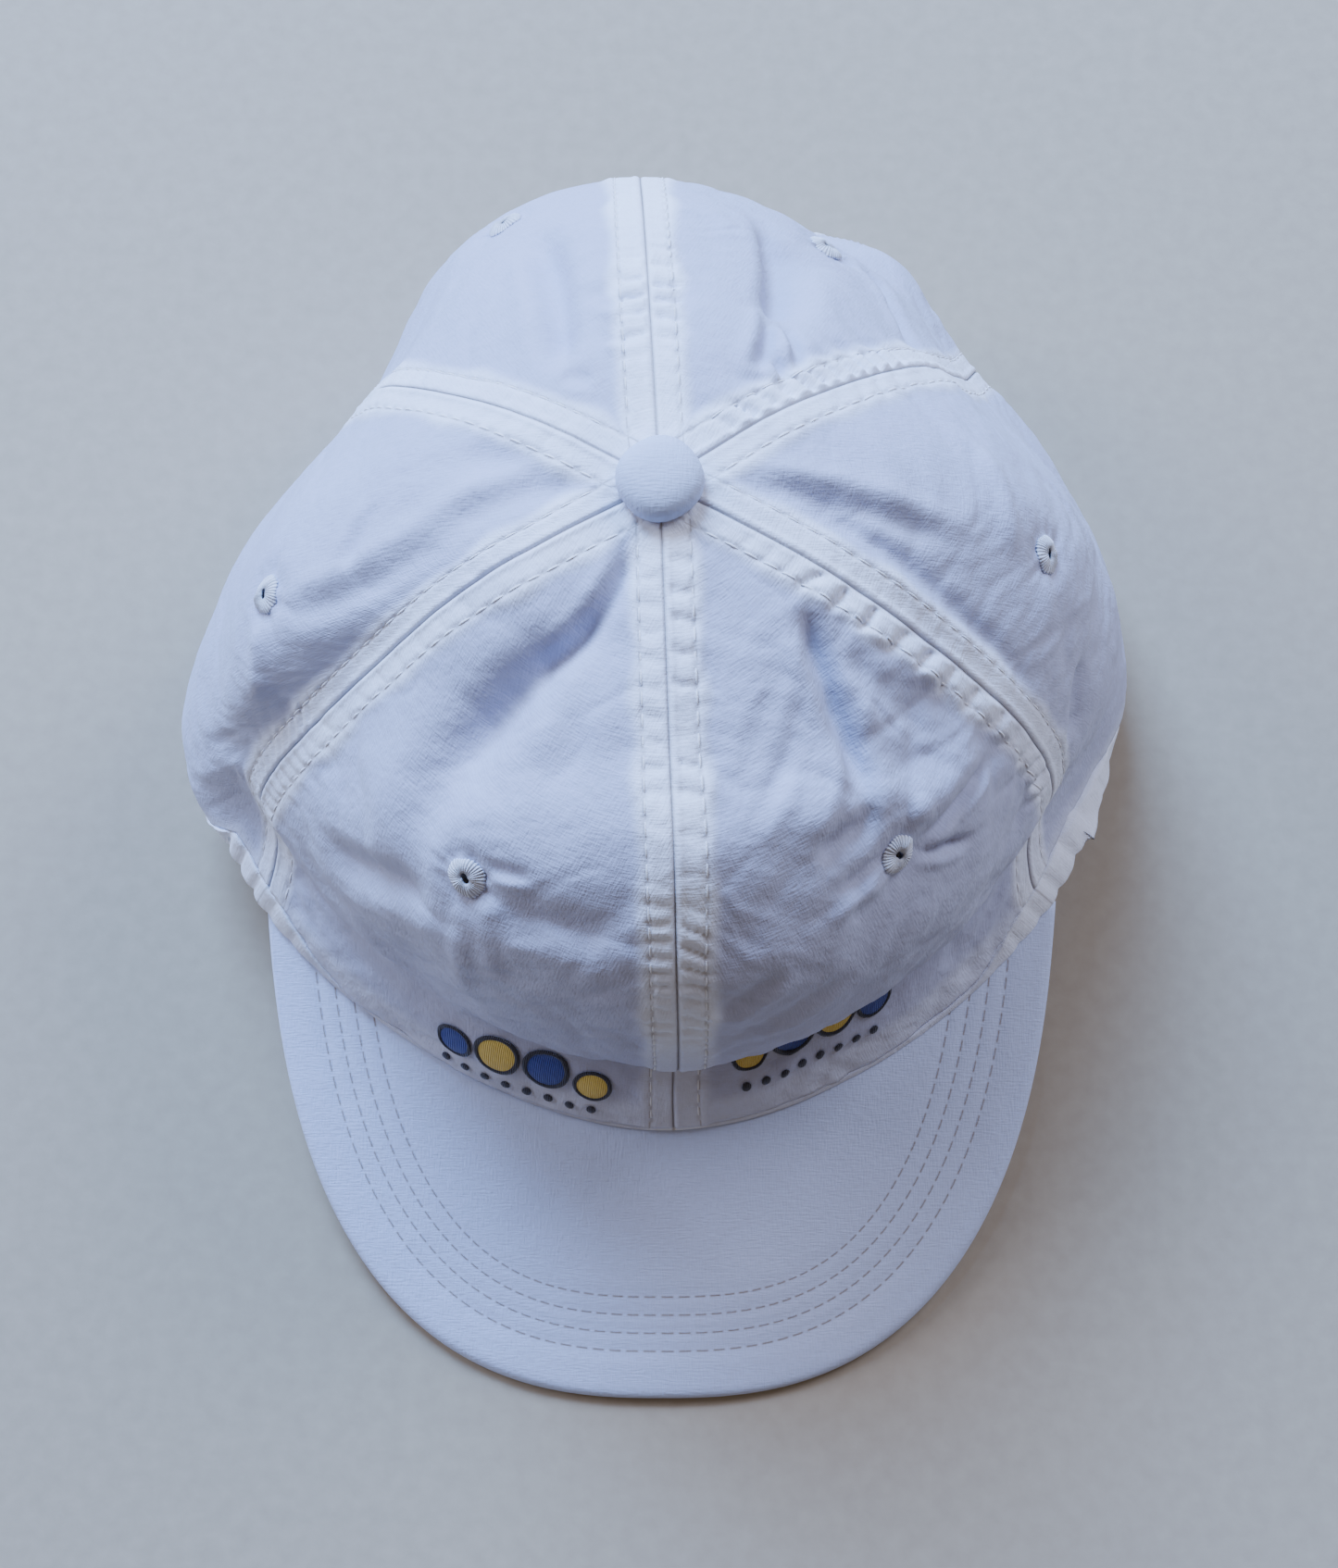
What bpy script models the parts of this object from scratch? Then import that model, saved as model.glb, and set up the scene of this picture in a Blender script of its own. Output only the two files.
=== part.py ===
"""Strapback cap with a slumped six-panel cloth crown, as it lies crown up on a table.

Metres, +Z up. The peak points to -Y, +X is the right side seen from the front, and the cap rests on z = 0.
"""

import bpy
import bmesh
from math import cos, pi, sin
from mathutils import Matrix, Vector

for old in list(bpy.data.objects):
    bpy.data.objects.remove(old)

# Crown
CROWN_HEIGHT = 0.112
RIM_RADIUS = 0.097
BUTTON_SETBACK = 0.010
SEAT_RADIUS = 0.0040
CLOTH = 0.0012
EYELET_DISTANCE = 0.080
CLEARANCE = 0.0003

# Hem along the bottom edge of the crown
HEM_HEIGHT = 0.0065
HEM_THICKNESS = 0.0024
HEM_PROUD = 0.0004

# Peak
PEAK_WIDTH = 0.1675
PEAK_LENGTH = 0.0545
PEAK_SQUARENESS = 2.6
PEAK_NARROWING = 0.0067
PEAK_CORNER_REACH = 0.505
PEAK_END_PLACE = 1.96
PEAK_THICKNESS = 0.0030
PEAK_ARCH = 0.010
PEAK_FALL = 0.28
PEAK_TURN_UNDER = 0.0040
PEAK_EDGE_ROUND = 0.0010

# Top button
BUTTON_DIAMETER = 0.0155
BUTTON_HEIGHT = 0.0062
BUTTON_UNDERSIDE_SHARE = 0.86
BUTTON_BRIM_SHARE = 0.25
SHANK_TIP_SHARE = 0.8

# Eyelets
EYELET_DIAMETER = 0.0078
EYELET_HOLE = 0.0026
EYELET_PROUD = 0.0007

# Back opening, strap and buckle
ARCH_WIDTH = 0.086
ARCH_HEIGHT = 0.050
STRAP_HEIGHT = 0.020
STRAP_THICKNESS = 0.0016
STRAP_LAP = 0.014
STRAP_LIFT = 0.003
STRAP_ROOM = 0.0006
BUCKLE_WIDTH = 0.018
BUCKLE_WALL = 0.0020
BUCKLE_OFFSET = -0.012

# Mesh fineness
CURVE_STEPS = 8
EYELET_SIDES = 14
PANEL_COLUMNS = 10
PANEL_ROWS = 20
PEAK_COLUMNS = 36
PEAK_ROWS = 5
ARCH_SIDES = 14
BUTTON_SIDES = 20
STRAP_COLUMNS = 18
BUCKLE_COLUMNS = 4
BUTTON_LEANS = (-8, 12, 32, 52, 72)
SHARP_ANGLE = 40

# Steps for slopes, round the crown as a part of a place and down it as a length
PLACE_STEP = 0.02
SLOPE_STEP = 0.0004

# The crown's twelve sections, seams and panel middles in turn, from the front seam round by the right side.
# turn and rim_turn are degrees from the front, seen from the button and from the rim's middle.
# Reaches are shares of RIM_RADIUS, heights shares of CROWN_HEIGHT, and lift is the share of the peak's height
# that the rim stands at, where one or more sits it on the peak.
SECTION_COLUMNS = (
    "turn", "rim_turn", "crest_height",
    "shoulder_reach", "shoulder_height", "brow_reach", "brow_height",
    "tuck_reach", "tuck_height", "flare_reach", "flare_height", "rim_reach", "lift",
)
SECTIONS = {
    "front_seam":        (2, 1.5, 0.975, 0.86, 0.83, 1.00, 0.48, 0.90, 0.33, 0.93, 0.25, 1.00, 1.3),
    "front_right":       (34, 31, 0.955, 0.85, 0.72, 0.95, 0.45, 0.885, 0.33, 0.91, 0.25, 0.975, 1.3),
    "right_front_seam":  (63, 59, 0.950, 0.75, 0.72, 0.91, 0.43, 0.89, 0.33, 0.93, 0.25, 0.99, 1.3),
    "side_right":        (92, 92, 0.950, 0.78, 0.71, 0.95, 0.42, 1.01, 0.24, 1.05, 0.14, 1.03, 0.2),
    "right_back_seam":   (125, 134, 0.955, 0.60, 0.77, 0.76, 0.55, 0.86, 0.42, 0.99, 0.27, 0.98, 0.0),
    "back_right":        (149, 153, 0.960, 0.60, 0.79, 0.80, 0.57, 0.92, 0.44, 1.06, 0.33, 1.01, 0.0),
    "back_seam":         (183, 182, 0.955, 0.64, 0.81, 0.85, 0.62, 0.94, 0.45, 0.98, 0.25, 0.99, 0.0),
    "back_left":         (206, 205, 0.955, 0.62, 0.79, 0.85, 0.57, 0.96, 0.44, 1.03, 0.33, 1.00, 0.0),
    "left_back_seam":    (239, 231, 0.950, 0.60, 0.76, 0.72, 0.57, 0.80, 0.42, 0.90, 0.25, 0.96, 0.0),
    "side_left":         (282, 277, 0.945, 0.79, 0.72, 0.96, 0.45, 1.03, 0.32, 1.07, 0.20, 1.03, 0.2),
    "left_front_seam":   (297, 300, 0.945, 0.77, 0.64, 0.93, 0.42, 0.93, 0.31, 0.98, 0.24, 1.01, 1.3),
    "front_left":        (330, 330, 0.965, 0.85, 0.76, 0.95, 0.42, 0.92, 0.33, 0.935, 0.25, 0.975, 1.3),
}
CREST_SHARE = 0.52


def smooth(values, place):
    """The value at a place along a closed row of values, on a curve through them."""
    count = len(values)
    i = int(place // 1)
    t = place - i
    a, b, c, d = (values[(i + k) % count] for k in (-1, 0, 1, 2))
    return b + 0.5 * t * (c - a + t * (2 * a - 5 * b + 4 * c - d + t * (3 * (b - c) + d - a)))


def unwound(turns):
    """Turns in degrees made to grow from row to row, as shares that a closed curve can run through."""
    return [turn - 360 * k / len(turns) for k, turn in enumerate(turns)]


COLUMN = {name: [row[k] for row in SECTIONS.values()] for k, name in enumerate(SECTION_COLUMNS)}
COLUMN["turn"] = unwound(COLUMN["turn"])
COLUMN["rim_turn"] = unwound(COLUMN["rim_turn"])
STEP_TURN = 360 / len(SECTIONS)


def section(name, place):
    value = smooth(COLUMN[name], place)
    return value + STEP_TURN * place if name.endswith("turn") else value


def ahead(turn, reach, centre_y=0.0):
    """Plan position at a turn in degrees from the front, going round by the right side."""
    return Vector((reach * sin(turn * pi / 180), centre_y - reach * cos(turn * pi / 180), 0))


def peak_tip():
    return -RIM_RADIUS * SECTIONS["front_seam"][SECTION_COLUMNS.index("rim_reach")] - PEAK_LENGTH


def peak_corner():
    return -RIM_RADIUS * PEAK_CORNER_REACH


def peak_outline(turn):
    """Outer edge of the peak, turn running from -90 degrees at the left corner to 90 at the right one."""
    s, c = sin(turn * pi / 180), cos(turn * pi / 180)
    power = 2 / PEAK_SQUARENESS
    forward = (peak_corner() - peak_tip()) * abs(c) ** power
    narrowing = PEAK_NARROWING * forward / (peak_corner() - peak_tip())
    half = (PEAK_WIDTH / 2 - narrowing) * abs(s) ** power
    return Vector((half if s > 0 else -half, peak_corner() - forward, 0))


def peak_rise(x, y):
    """Height of the peak's surface over its tip."""
    return PEAK_FALL * (y - peak_tip()) - PEAK_ARCH * (x / (PEAK_WIDTH / 2)) ** 2


PEAK_LOWEST = min(peak_rise(*peak_outline(turn)[:2]) for turn in range(-90, 91, 3))


def peak_top(x, y):
    return PEAK_THICKNESS + peak_rise(x, y) - PEAK_LOWEST - PEAK_FALL * PEAK_EDGE_ROUND


def rim_point(place):
    spot = ahead(section("rim_turn", place), RIM_RADIUS * section("rim_reach", place))
    seat = peak_top(spot.x, spot.y) + CLEARANCE
    spot.z = min(1.0, max(0.0, section("lift", place))) * seat
    return spot


def knots(place):
    """Points down the outside of the crown at one place round it, from the button's seat to the rim."""
    turn, rim_turn = section("turn", place), section("rim_turn", place)
    middle = (turn + rim_turn) / 2

    def spot(angle, centre_y, reach, height):
        found = ahead(angle, RIM_RADIUS * reach, centre_y)
        found.z = CROWN_HEIGHT * height
        return found

    shoulder = section("shoulder_reach", place)
    return [
        spot(turn, BUTTON_SETBACK, SEAT_RADIUS / RIM_RADIUS, 1),
        spot(turn, BUTTON_SETBACK, CREST_SHARE * shoulder, section("crest_height", place)),
        spot(turn, BUTTON_SETBACK, shoulder, section("shoulder_height", place)),
        spot(turn, BUTTON_SETBACK, section("brow_reach", place), section("brow_height", place)),
        spot(middle, BUTTON_SETBACK / 2, section("tuck_reach", place), section("tuck_height", place)),
        spot(rim_turn, 0, section("flare_reach", place), section("flare_height", place)),
        rim_point(place),
    ]


def curve_through(points, steps):
    """A smooth curve through points, with steps pieces between each two."""
    ends = [points[0] * 2 - points[1]] + points + [points[-1] * 2 - points[-2]]
    ends[0].z = points[1].z
    line = []
    for a, b, c, d in zip(ends, ends[1:], ends[2:], ends[3:]):
        for k in range(steps):
            t = k / steps
            line.append(b + 0.5 * t * (c - a + t * (2 * a - 5 * b + 4 * c - d + t * (3 * (b - c) + d - a))))
    return line + [points[-1].copy()]


DRAWN = {}


def drawn_line(place):
    """The outside of the crown at one place, from seat to rim, as a fine line of points."""
    key = round(place % len(SECTIONS), 6)
    if key not in DRAWN:
        DRAWN[key] = curve_through(knots(key), CURVE_STEPS)
    return DRAWN[key]


def line_length(line):
    return sum((b - a).length for a, b in zip(line, line[1:]))


def point_on(line, distance):
    for a, b in zip(line, line[1:]):
        step = (b - a).length
        if distance <= step:
            return a.lerp(b, distance / step)
        distance -= step
    return line[-1] + (line[-1] - line[-2]).normalized() * distance


# Creases pressed into the panels, numbered from the front right one round to the front left one.
# Across runs from seam to seam the same way, and down from the button's seat to the hem, as shares.
# Width and depth are shares of RIM_RADIUS, and a crease fades out at CREASE_REACH times its width.
CREASE_COLUMNS = ("panel", "from_across", "from_down", "to_across", "to_down", "width", "depth")
CREASE_REACH = 2
CREASE_POWER = 4
CREASES = (
    (5, 0.55, 0.07, 0.38, 0.34, 0.050, 0.028),
    (5, 0.38, 0.34, 0.44, 0.56, 0.080, 0.016),
    (0, 0.72, 0.20, 0.52, 0.42, 0.050, 0.024),
    (0, 0.86, 0.56, 0.60, 0.54, 0.045, 0.018),
    (1, 0.42, 0.11, 0.42, 0.28, 0.065, 0.020),
    (3, 0.40, 0.45, 0.50, 0.28, 0.055, 0.026),
    (3, 0.50, 0.28, 0.68, 0.17, 0.045, 0.018),
    (2, 0.68, 0.50, 0.50, 0.25, 0.050, 0.030),
    (4, 0.62, 0.78, 0.86, 0.84, 0.060, 0.024),
)


def bare_point(place, distance):
    return point_on(drawn_line(place), distance)


def outward(surface, place, distance):
    """Outward direction of a surface of place and distance, from its slopes there."""
    across = surface(place + PLACE_STEP, distance) - surface(place - PLACE_STEP, distance)
    down = surface(place, distance + SLOPE_STEP) - surface(place, max(0.0, distance - SLOPE_STEP))
    return down.cross(across).normalized()


def panel_length(place):
    return line_length(drawn_line(place)) - HEM_HEIGHT - CLEARANCE


def crease_ends(row):
    ends = []
    for across, down in ((row["from_across"], row["from_down"]), (row["to_across"], row["to_down"])):
        place = 2 * row["panel"] + 2 * across
        ends.append(bare_point(place, down * panel_length(place)))
    return ends


def crease_depth(point):
    total = 0.0
    for start, end, width, depth in CREASE_LINES:
        run = end - start
        share = min(1.0, max(0.0, (point - start).dot(run) / run.length_squared))
        gap = (point - start - run * share).length / width
        total += depth * max(0.0, 1 - (gap / CREASE_REACH) ** 2) ** CREASE_POWER
    return total


def skin(place, distance):
    """A point of the crown's outer cloth, creases and all."""
    point = bare_point(place, distance)
    depth = crease_depth(point)
    return point - outward(bare_point, place, distance) * depth if depth > 1e-5 else point


def new_object(name, mesh, look):
    obj = bpy.data.objects.new(name, mesh)
    bpy.context.scene.collection.objects.link(obj)
    if look:
        mesh.materials.append(look)
    mesh.shade_smooth()
    mesh.set_sharp_from_angle(angle=SHARP_ANGLE * pi / 180)
    obj.parent = CAP
    return obj


def wall_between(name, outer, inner, look, ring=False):
    """A closed wall from two grids of points, given as columns. A ring's last column meets its first."""
    columns, rows = len(outer), len(outer[0])
    points = [p for column in outer for p in column] + [p for column in inner for p in column]
    inside = columns * rows
    faces = []

    def at(column, row, base=0):
        return base + (column % columns) * rows + row

    for i in range(columns if ring else columns - 1):
        for j in range(rows - 1):
            faces.append((at(i, j), at(i, j + 1), at(i + 1, j + 1), at(i + 1, j)))
            back = (at(i, j), at(i + 1, j), at(i + 1, j + 1), at(i, j + 1))
            faces.append([inside + corner for corner in back])
        faces.append((at(i, 0), at(i + 1, 0), at(i + 1, 0, inside), at(i, 0, inside)))
        last = rows - 1
        faces.append((at(i, last), at(i, last, inside), at(i + 1, last, inside), at(i + 1, last)))
    for i in () if ring else (0, columns - 1):
        for j in range(rows - 1):
            side = (at(i, j), at(i, j, inside), at(i, j + 1, inside), at(i, j + 1))
            faces.append(side if i == 0 else side[::-1])
    mesh = bpy.data.meshes.new(name)
    mesh.from_pydata([tuple(p) for p in points], [], faces)
    face_out(mesh)
    return new_object(name, mesh, look)


def face_out(mesh):
    shape = bmesh.new()
    shape.from_mesh(mesh)
    bmesh.ops.recalc_face_normals(shape, faces=shape.faces)
    shape.to_mesh(mesh)
    shape.free()


def turned(name, profile, steps, look, place=Matrix(), hollow=False):
    """A solid turned round its own Z from (radius, height) points. A hollow one has a closed profile."""
    points, faces = [], []
    for k in range(steps):
        angle = 2 * pi * k / steps
        points += [place @ Vector((r * cos(angle), r * sin(angle), z)) for r, z in profile]
    rows = len(profile)
    for k in range(steps):
        here, there = k * rows, (k + 1) % steps * rows
        for j in range(rows if hollow else rows - 1):
            up = (j + 1) % rows
            faces.append((here + j, there + j, there + up, here + up))
    if not hollow:
        faces.append([k * rows for k in range(steps)])
        faces.append([k * rows + rows - 1 for k in range(steps)])
    mesh = bpy.data.meshes.new(name)
    mesh.from_pydata([tuple(p) for p in points], [], faces)
    face_out(mesh)
    return new_object(name, mesh, look)


def finish(name, colour, roughness, metallic=0.0):
    look = bpy.data.materials.new(name)
    look.use_nodes = True
    shader = look.node_tree.nodes["Principled BSDF"]
    shader.inputs["Base Color"].default_value = (*colour, 1)
    shader.inputs["Roughness"].default_value = roughness
    shader.inputs["Metallic"].default_value = metallic
    return look


def cut(obj, cutter):
    cutter.hide_render = True
    cutter.display_type = "WIRE"
    modifier = obj.modifiers.new("cut", "BOOLEAN")
    modifier.operation = "DIFFERENCE"
    modifier.solver = "EXACT"
    modifier.object = cutter


# Crown panels

PANELS = ("front_right", "side_right", "back_right", "back_left", "side_left", "front_left")


def seam_gap(place, distance):
    """Half the gap at a seam, as a step of place."""
    near, far = bare_point(place - PLACE_STEP, distance), bare_point(place + PLACE_STEP, distance)
    return CLEARANCE * PLACE_STEP / (far - near).length


def panel(k, look):
    outer, inner = [], []
    for i in range(PANEL_COLUMNS + 1):
        share = i / PANEL_COLUMNS
        column, back = [], []
        for j in range(PANEL_ROWS + 1):
            place = 2 * k + 2 * share
            distance = panel_length(place) * j / PANEL_ROWS
            place += (1 - 2 * share) * seam_gap(place, distance)
            point = skin(place, distance)
            column.append(point)
            back.append(point - outward(skin, place, distance) * CLOTH)
        outer.append(column)
        inner.append(back)
    return wall_between("crown_" + PANELS[k], outer, inner, look)


def arch_cutter():
    """A prism with a round-topped outline, through the back wall alone."""
    half = ARCH_WIDTH / 2
    outline = [(-half, -HEM_HEIGHT)]
    for k in range(1, ARCH_SIDES):
        lean = pi * k / ARCH_SIDES
        outline.append((-half * cos(lean), ARCH_HEIGHT * sin(lean)))
    outline.append((half, -HEM_HEIGHT))
    near = [[Vector((x, y, z)) for y in (RIM_RADIUS / 2, RIM_RADIUS * 1.5)] for x, z in outline]
    points = [p for pair in near for p in pair]
    count = len(outline)
    faces = [(2 * i, 2 * i + 1, 2 * ((i + 1) % count) + 1, 2 * ((i + 1) % count)) for i in range(count)]
    faces += [[2 * i for i in range(count)], [2 * i + 1 for i in range(count)]]
    mesh = bpy.data.meshes.new("arch_cutter")
    mesh.from_pydata([tuple(p) for p in points], [], faces)
    face_out(mesh)
    return new_object("arch_cutter", mesh, None)


# Eyelets, one near the middle of each panel. Down is a share of EYELET_DISTANCE.

EYELET_COLUMNS = ("across", "down")
EYELETS = {
    "front_right": (0.51, 0.975),
    "side_right": (0.44, 0.99),
    "back_right": (0.57, 1.13),
    "back_left": (0.45, 1.16),
    "side_left": (0.44, 1.00),
    "front_left": (0.54, 0.94),
}


def eyelet_frame(k):
    where = dict(zip(EYELET_COLUMNS, EYELETS[PANELS[k]]))
    place, distance = 2 * (k + where["across"]), EYELET_DISTANCE * where["down"]
    spot, axis = skin(place, distance), outward(skin, place, distance)
    return Matrix.Translation(spot) @ axis.to_track_quat("Z", "Y").to_matrix().to_4x4()


def eyelet(k, look):
    """A thread ring that fills a round hole in the cloth, a little proud of it."""
    hole, edge = EYELET_HOLE / 2, EYELET_DIAMETER / 2
    slope = EYELET_PROUD / 2
    profile = [(hole, -CLOTH), (edge, -CLOTH), (edge, slope), (edge - slope, EYELET_PROUD)]
    profile += [(hole + slope, EYELET_PROUD), (hole, slope)]
    return turned("eyelet_" + PANELS[k], profile, EYELET_SIDES, look, eyelet_frame(k), hollow=True)


def eyelet_cutter(k):
    radius = EYELET_DIAMETER / 2 + CLEARANCE
    profile = [(radius, -4 * CLOTH), (radius, 4 * CLOTH)]
    return turned("eyelet_cutter_" + PANELS[k], profile, EYELET_SIDES, None, eyelet_frame(k))


# Hem, a folded edge along the rim

def seat_height(point, place):
    share = min(1.0, max(0.0, section("lift", place)))
    return share * (peak_top(point.x, point.y) + CLEARANCE)


def hem_column(place, depth):
    """The hem's top and bottom edge at a depth inside the cloth's outer face, the bottom cut to its seat."""
    total = line_length(drawn_line(place))
    top = bare_point(place, total - HEM_HEIGHT) - outward(bare_point, place, total - HEM_HEIGHT) * depth
    level = outward(bare_point, place, total)
    level.z = 0
    bottom = bare_point(place, total) - level.normalized() * depth
    bottom.z = seat_height(bottom, place)
    return [top, bottom]


def rim_hem(look):
    places = [2 * k / PANEL_COLUMNS for k in range(len(PANELS) * PANEL_COLUMNS)]
    outer = [hem_column(place, -HEM_PROUD) for place in places]
    inner = [hem_column(place, HEM_THICKNESS - HEM_PROUD) for place in places]
    return wall_between("rim_hem", outer, inner, look, ring=True)


# Peak

def peak(look):
    tops, bottoms = [], []
    for i in range(PEAK_COLUMNS + 1):
        share = i / PEAK_COLUMNS
        inner = rim_point(PEAK_END_PLACE * (2 * share - 1))
        inner -= Vector((inner.x, inner.y, 0)).normalized() * PEAK_TURN_UNDER
        outer = peak_outline(180 * share - 90)
        run = outer - inner
        run.z = 0
        rounding = min(0.5, PEAK_EDGE_ROUND / run.length)
        rows = [(1 - rounding) * j / PEAK_ROWS for j in range(PEAK_ROWS + 1)] + [1.0]
        top, bottom = [], []
        for row in rows:
            x, y = inner.x + run.x * row, inner.y + run.y * row
            inset = PEAK_EDGE_ROUND if row == 1.0 else 0.0
            top.append(Vector((x, y, peak_top(x, y) - inset)))
            bottom.append(Vector((x, y, peak_top(x, y) - PEAK_THICKNESS + inset)))
        tops.append(top)
        bottoms.append(bottom)
    return wall_between("peak", tops, bottoms, look)


# Top button

def top_button(look):
    radius, height = BUTTON_DIAMETER / 2, BUTTON_HEIGHT
    shank = SEAT_RADIUS - 2 * CLEARANCE
    profile = [(shank * SHANK_TIP_SHARE, -3 * CLOTH), (shank, -2 * CLOTH), (shank, 0.0)]
    profile.append((radius * BUTTON_UNDERSIDE_SHARE, 0.0))
    for lean in BUTTON_LEANS:
        rise = BUTTON_BRIM_SHARE + (1 - BUTTON_BRIM_SHARE) * sin(lean * pi / 180)
        profile.append((radius * cos(lean * pi / 180), height * rise))
    place = Matrix.Translation((0, BUTTON_SETBACK, CROWN_HEIGHT + CLEARANCE))
    return turned("top_button", profile, BUTTON_SIDES, look, place)


# Back strap across the arch, and its buckle

BACK_PLACES = (4.5, 7.5)
HALVINGS = 40


def back_place(x):
    """Place along the back rim where it stands at this x, found by halving."""
    low, high = BACK_PLACES
    for _ in range(HALVINGS):
        middle = (low + high) / 2
        if rim_point(middle).x > x:
            low = middle
        else:
            high = middle
    return low


def strap_points(x, depth, heights):
    """Points at some heights on an upright line, at a depth inside the inner face of the hem."""
    foot = rim_point(back_place(x))
    foot.z = 0
    side = foot.normalized()
    foot -= side * (HEM_THICKNESS - HEM_PROUD + STRAP_ROOM + depth)
    return [foot + Vector((0, 0, height)) for height in heights]


def back_strap(look):
    half = ARCH_WIDTH / 2 + STRAP_LAP
    heights = (STRAP_LIFT + STRAP_HEIGHT, STRAP_LIFT)
    spots = [half - 2 * half * i / STRAP_COLUMNS for i in range(STRAP_COLUMNS + 1)]
    outer = [strap_points(x, 0, heights) for x in spots]
    inner = [strap_points(x, STRAP_THICKNESS, heights) for x in spots]
    return wall_between("back_strap", outer, inner, look)


def strap_buckle(look):
    """A plain sleeve round the strap."""
    near, far = CLEARANCE, CLEARANCE + BUCKLE_WALL
    spots = [BUCKLE_OFFSET + BUCKLE_WIDTH * (0.5 - i / BUCKLE_COLUMNS) for i in range(BUCKLE_COLUMNS + 1)]
    low, high = STRAP_LIFT, STRAP_LIFT + STRAP_HEIGHT

    def loop(x, gap):
        front = strap_points(x, -gap, (high + gap, low - gap))
        back = strap_points(x, STRAP_THICKNESS + gap, (low - gap, high + gap))
        return front + back

    outer, inner = [loop(x, far) for x in spots], [loop(x, near) for x in spots]
    points = [p for grid in (outer, inner) for ring in grid for p in ring]
    faces, inside = [], 4 * len(spots)
    for i in range(BUCKLE_COLUMNS):
        for j in range(4):
            a, b = 4 * i + j, 4 * i + (j + 1) % 4
            faces.append((a, b, b + 4, a + 4))
            faces.append((inside + a, inside + a + 4, inside + b + 4, inside + b))
    for i in (0, BUCKLE_COLUMNS):
        for j in range(4):
            a, b = 4 * i + j, 4 * i + (j + 1) % 4
            faces.append((a, b, inside + b, inside + a))
    mesh = bpy.data.meshes.new("strap_buckle")
    mesh.from_pydata([tuple(p) for p in points], [], faces)
    face_out(mesh)
    return new_object("strap_buckle", mesh, look)


# Assembly

CAP = bpy.data.objects.new("cap", None)
bpy.context.scene.collection.objects.link(CAP)
CREASE_LINES = []
for values in CREASES:
    named = dict(zip(CREASE_COLUMNS, values))
    CREASE_LINES.append((*crease_ends(named), named["width"] * RIM_RADIUS, named["depth"] * RIM_RADIUS))

cloth = finish("white_cotton", (0.80, 0.82, 0.86), 0.9)
peak_cloth = finish("white_cotton_peak", (0.76, 0.80, 0.88), 0.85)
button_cloth = finish("white_cotton_button", (0.80, 0.84, 0.90), 0.85)
thread = finish("white_thread", (0.86, 0.88, 0.90), 0.7)
hem_cloth = finish("white_cotton_hem", (0.86, 0.88, 0.92), 0.9)
metal = finish("buckle_metal", (0.55, 0.55, 0.56), 0.35, 1.0)

arch = arch_cutter()
for k, side in enumerate(PANELS):
    cloth_panel = panel(k, cloth)
    cut(cloth_panel, eyelet_cutter(k))
    if side.startswith("back"):
        cut(cloth_panel, arch)
    eyelet(k, thread)
cut(rim_hem(hem_cloth), arch)
peak(peak_cloth)
top_button(button_cloth)
back_strap(hem_cloth)
strap_buckle(metal)

# The origin goes to the middle of the footprint, on the table

bpy.context.view_layer.update()
graph = bpy.context.evaluated_depsgraph_get()
corners = [
    corner
    for obj in CAP.children
    if not obj.hide_render
    for corner in obj.evaluated_get(graph).bound_box
]
for axis in (0, 1):
    reach = [corner[axis] for corner in corners]
    CAP.location[axis] = -(min(reach) + max(reach)) / 2
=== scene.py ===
"""A slumped white cotton strapback cap on a pale table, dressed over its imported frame.

Metres, +Z up. The peak points to -Y and +X is the right side seen from the front. Forms are worked out about
the middle of the cap's rim and moved to the frame's own place as they are laid.
"""

from contextlib import contextmanager
from math import cos, hypot, pi, radians, sin

import bmesh
import bpy
import numpy as np
from mathutils import Matrix, Vector


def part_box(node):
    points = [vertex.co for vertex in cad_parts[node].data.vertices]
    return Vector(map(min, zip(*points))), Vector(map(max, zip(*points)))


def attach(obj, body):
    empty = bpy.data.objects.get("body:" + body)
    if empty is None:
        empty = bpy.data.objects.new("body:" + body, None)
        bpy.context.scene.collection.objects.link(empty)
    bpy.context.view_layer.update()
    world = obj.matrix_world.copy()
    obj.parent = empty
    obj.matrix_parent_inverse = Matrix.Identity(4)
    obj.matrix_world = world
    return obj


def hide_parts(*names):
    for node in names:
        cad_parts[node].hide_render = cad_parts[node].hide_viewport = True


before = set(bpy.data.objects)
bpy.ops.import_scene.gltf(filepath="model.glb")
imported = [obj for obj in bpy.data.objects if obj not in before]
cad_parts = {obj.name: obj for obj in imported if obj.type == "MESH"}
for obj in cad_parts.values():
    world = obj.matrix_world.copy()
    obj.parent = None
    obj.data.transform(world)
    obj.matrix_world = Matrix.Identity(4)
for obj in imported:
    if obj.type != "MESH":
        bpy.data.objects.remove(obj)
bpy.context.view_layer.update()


# Crown panels
# Six unlined panels of light plain-weave cotton, sewn edge to edge. Each seam is pressed open and
# topstitched on both sides, so two layers lie between the stitch rows, and the thread has drawn them into
# puckers.

CROWN_HEIGHT = 0.112
RIM_RADIUS = 0.097
BUTTON_SETBACK = 0.010
SEAT_RADIUS = 0.0040
CREST_SHARE = 0.52
CLOTH = 0.0012
CLEARANCE = 0.0003
HEM_HEIGHT = 0.0065
HEM_FRONT = 0.0012
HEM_STARTS = (1.45, 1.95)
PLACE_LENGTH = 1000 * RIM_RADIUS * pi / 6
CURVE_STEPS = 64
PANELS = ("front_right", "side_right", "back_right", "back_left", "side_left", "front_left")

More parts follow.
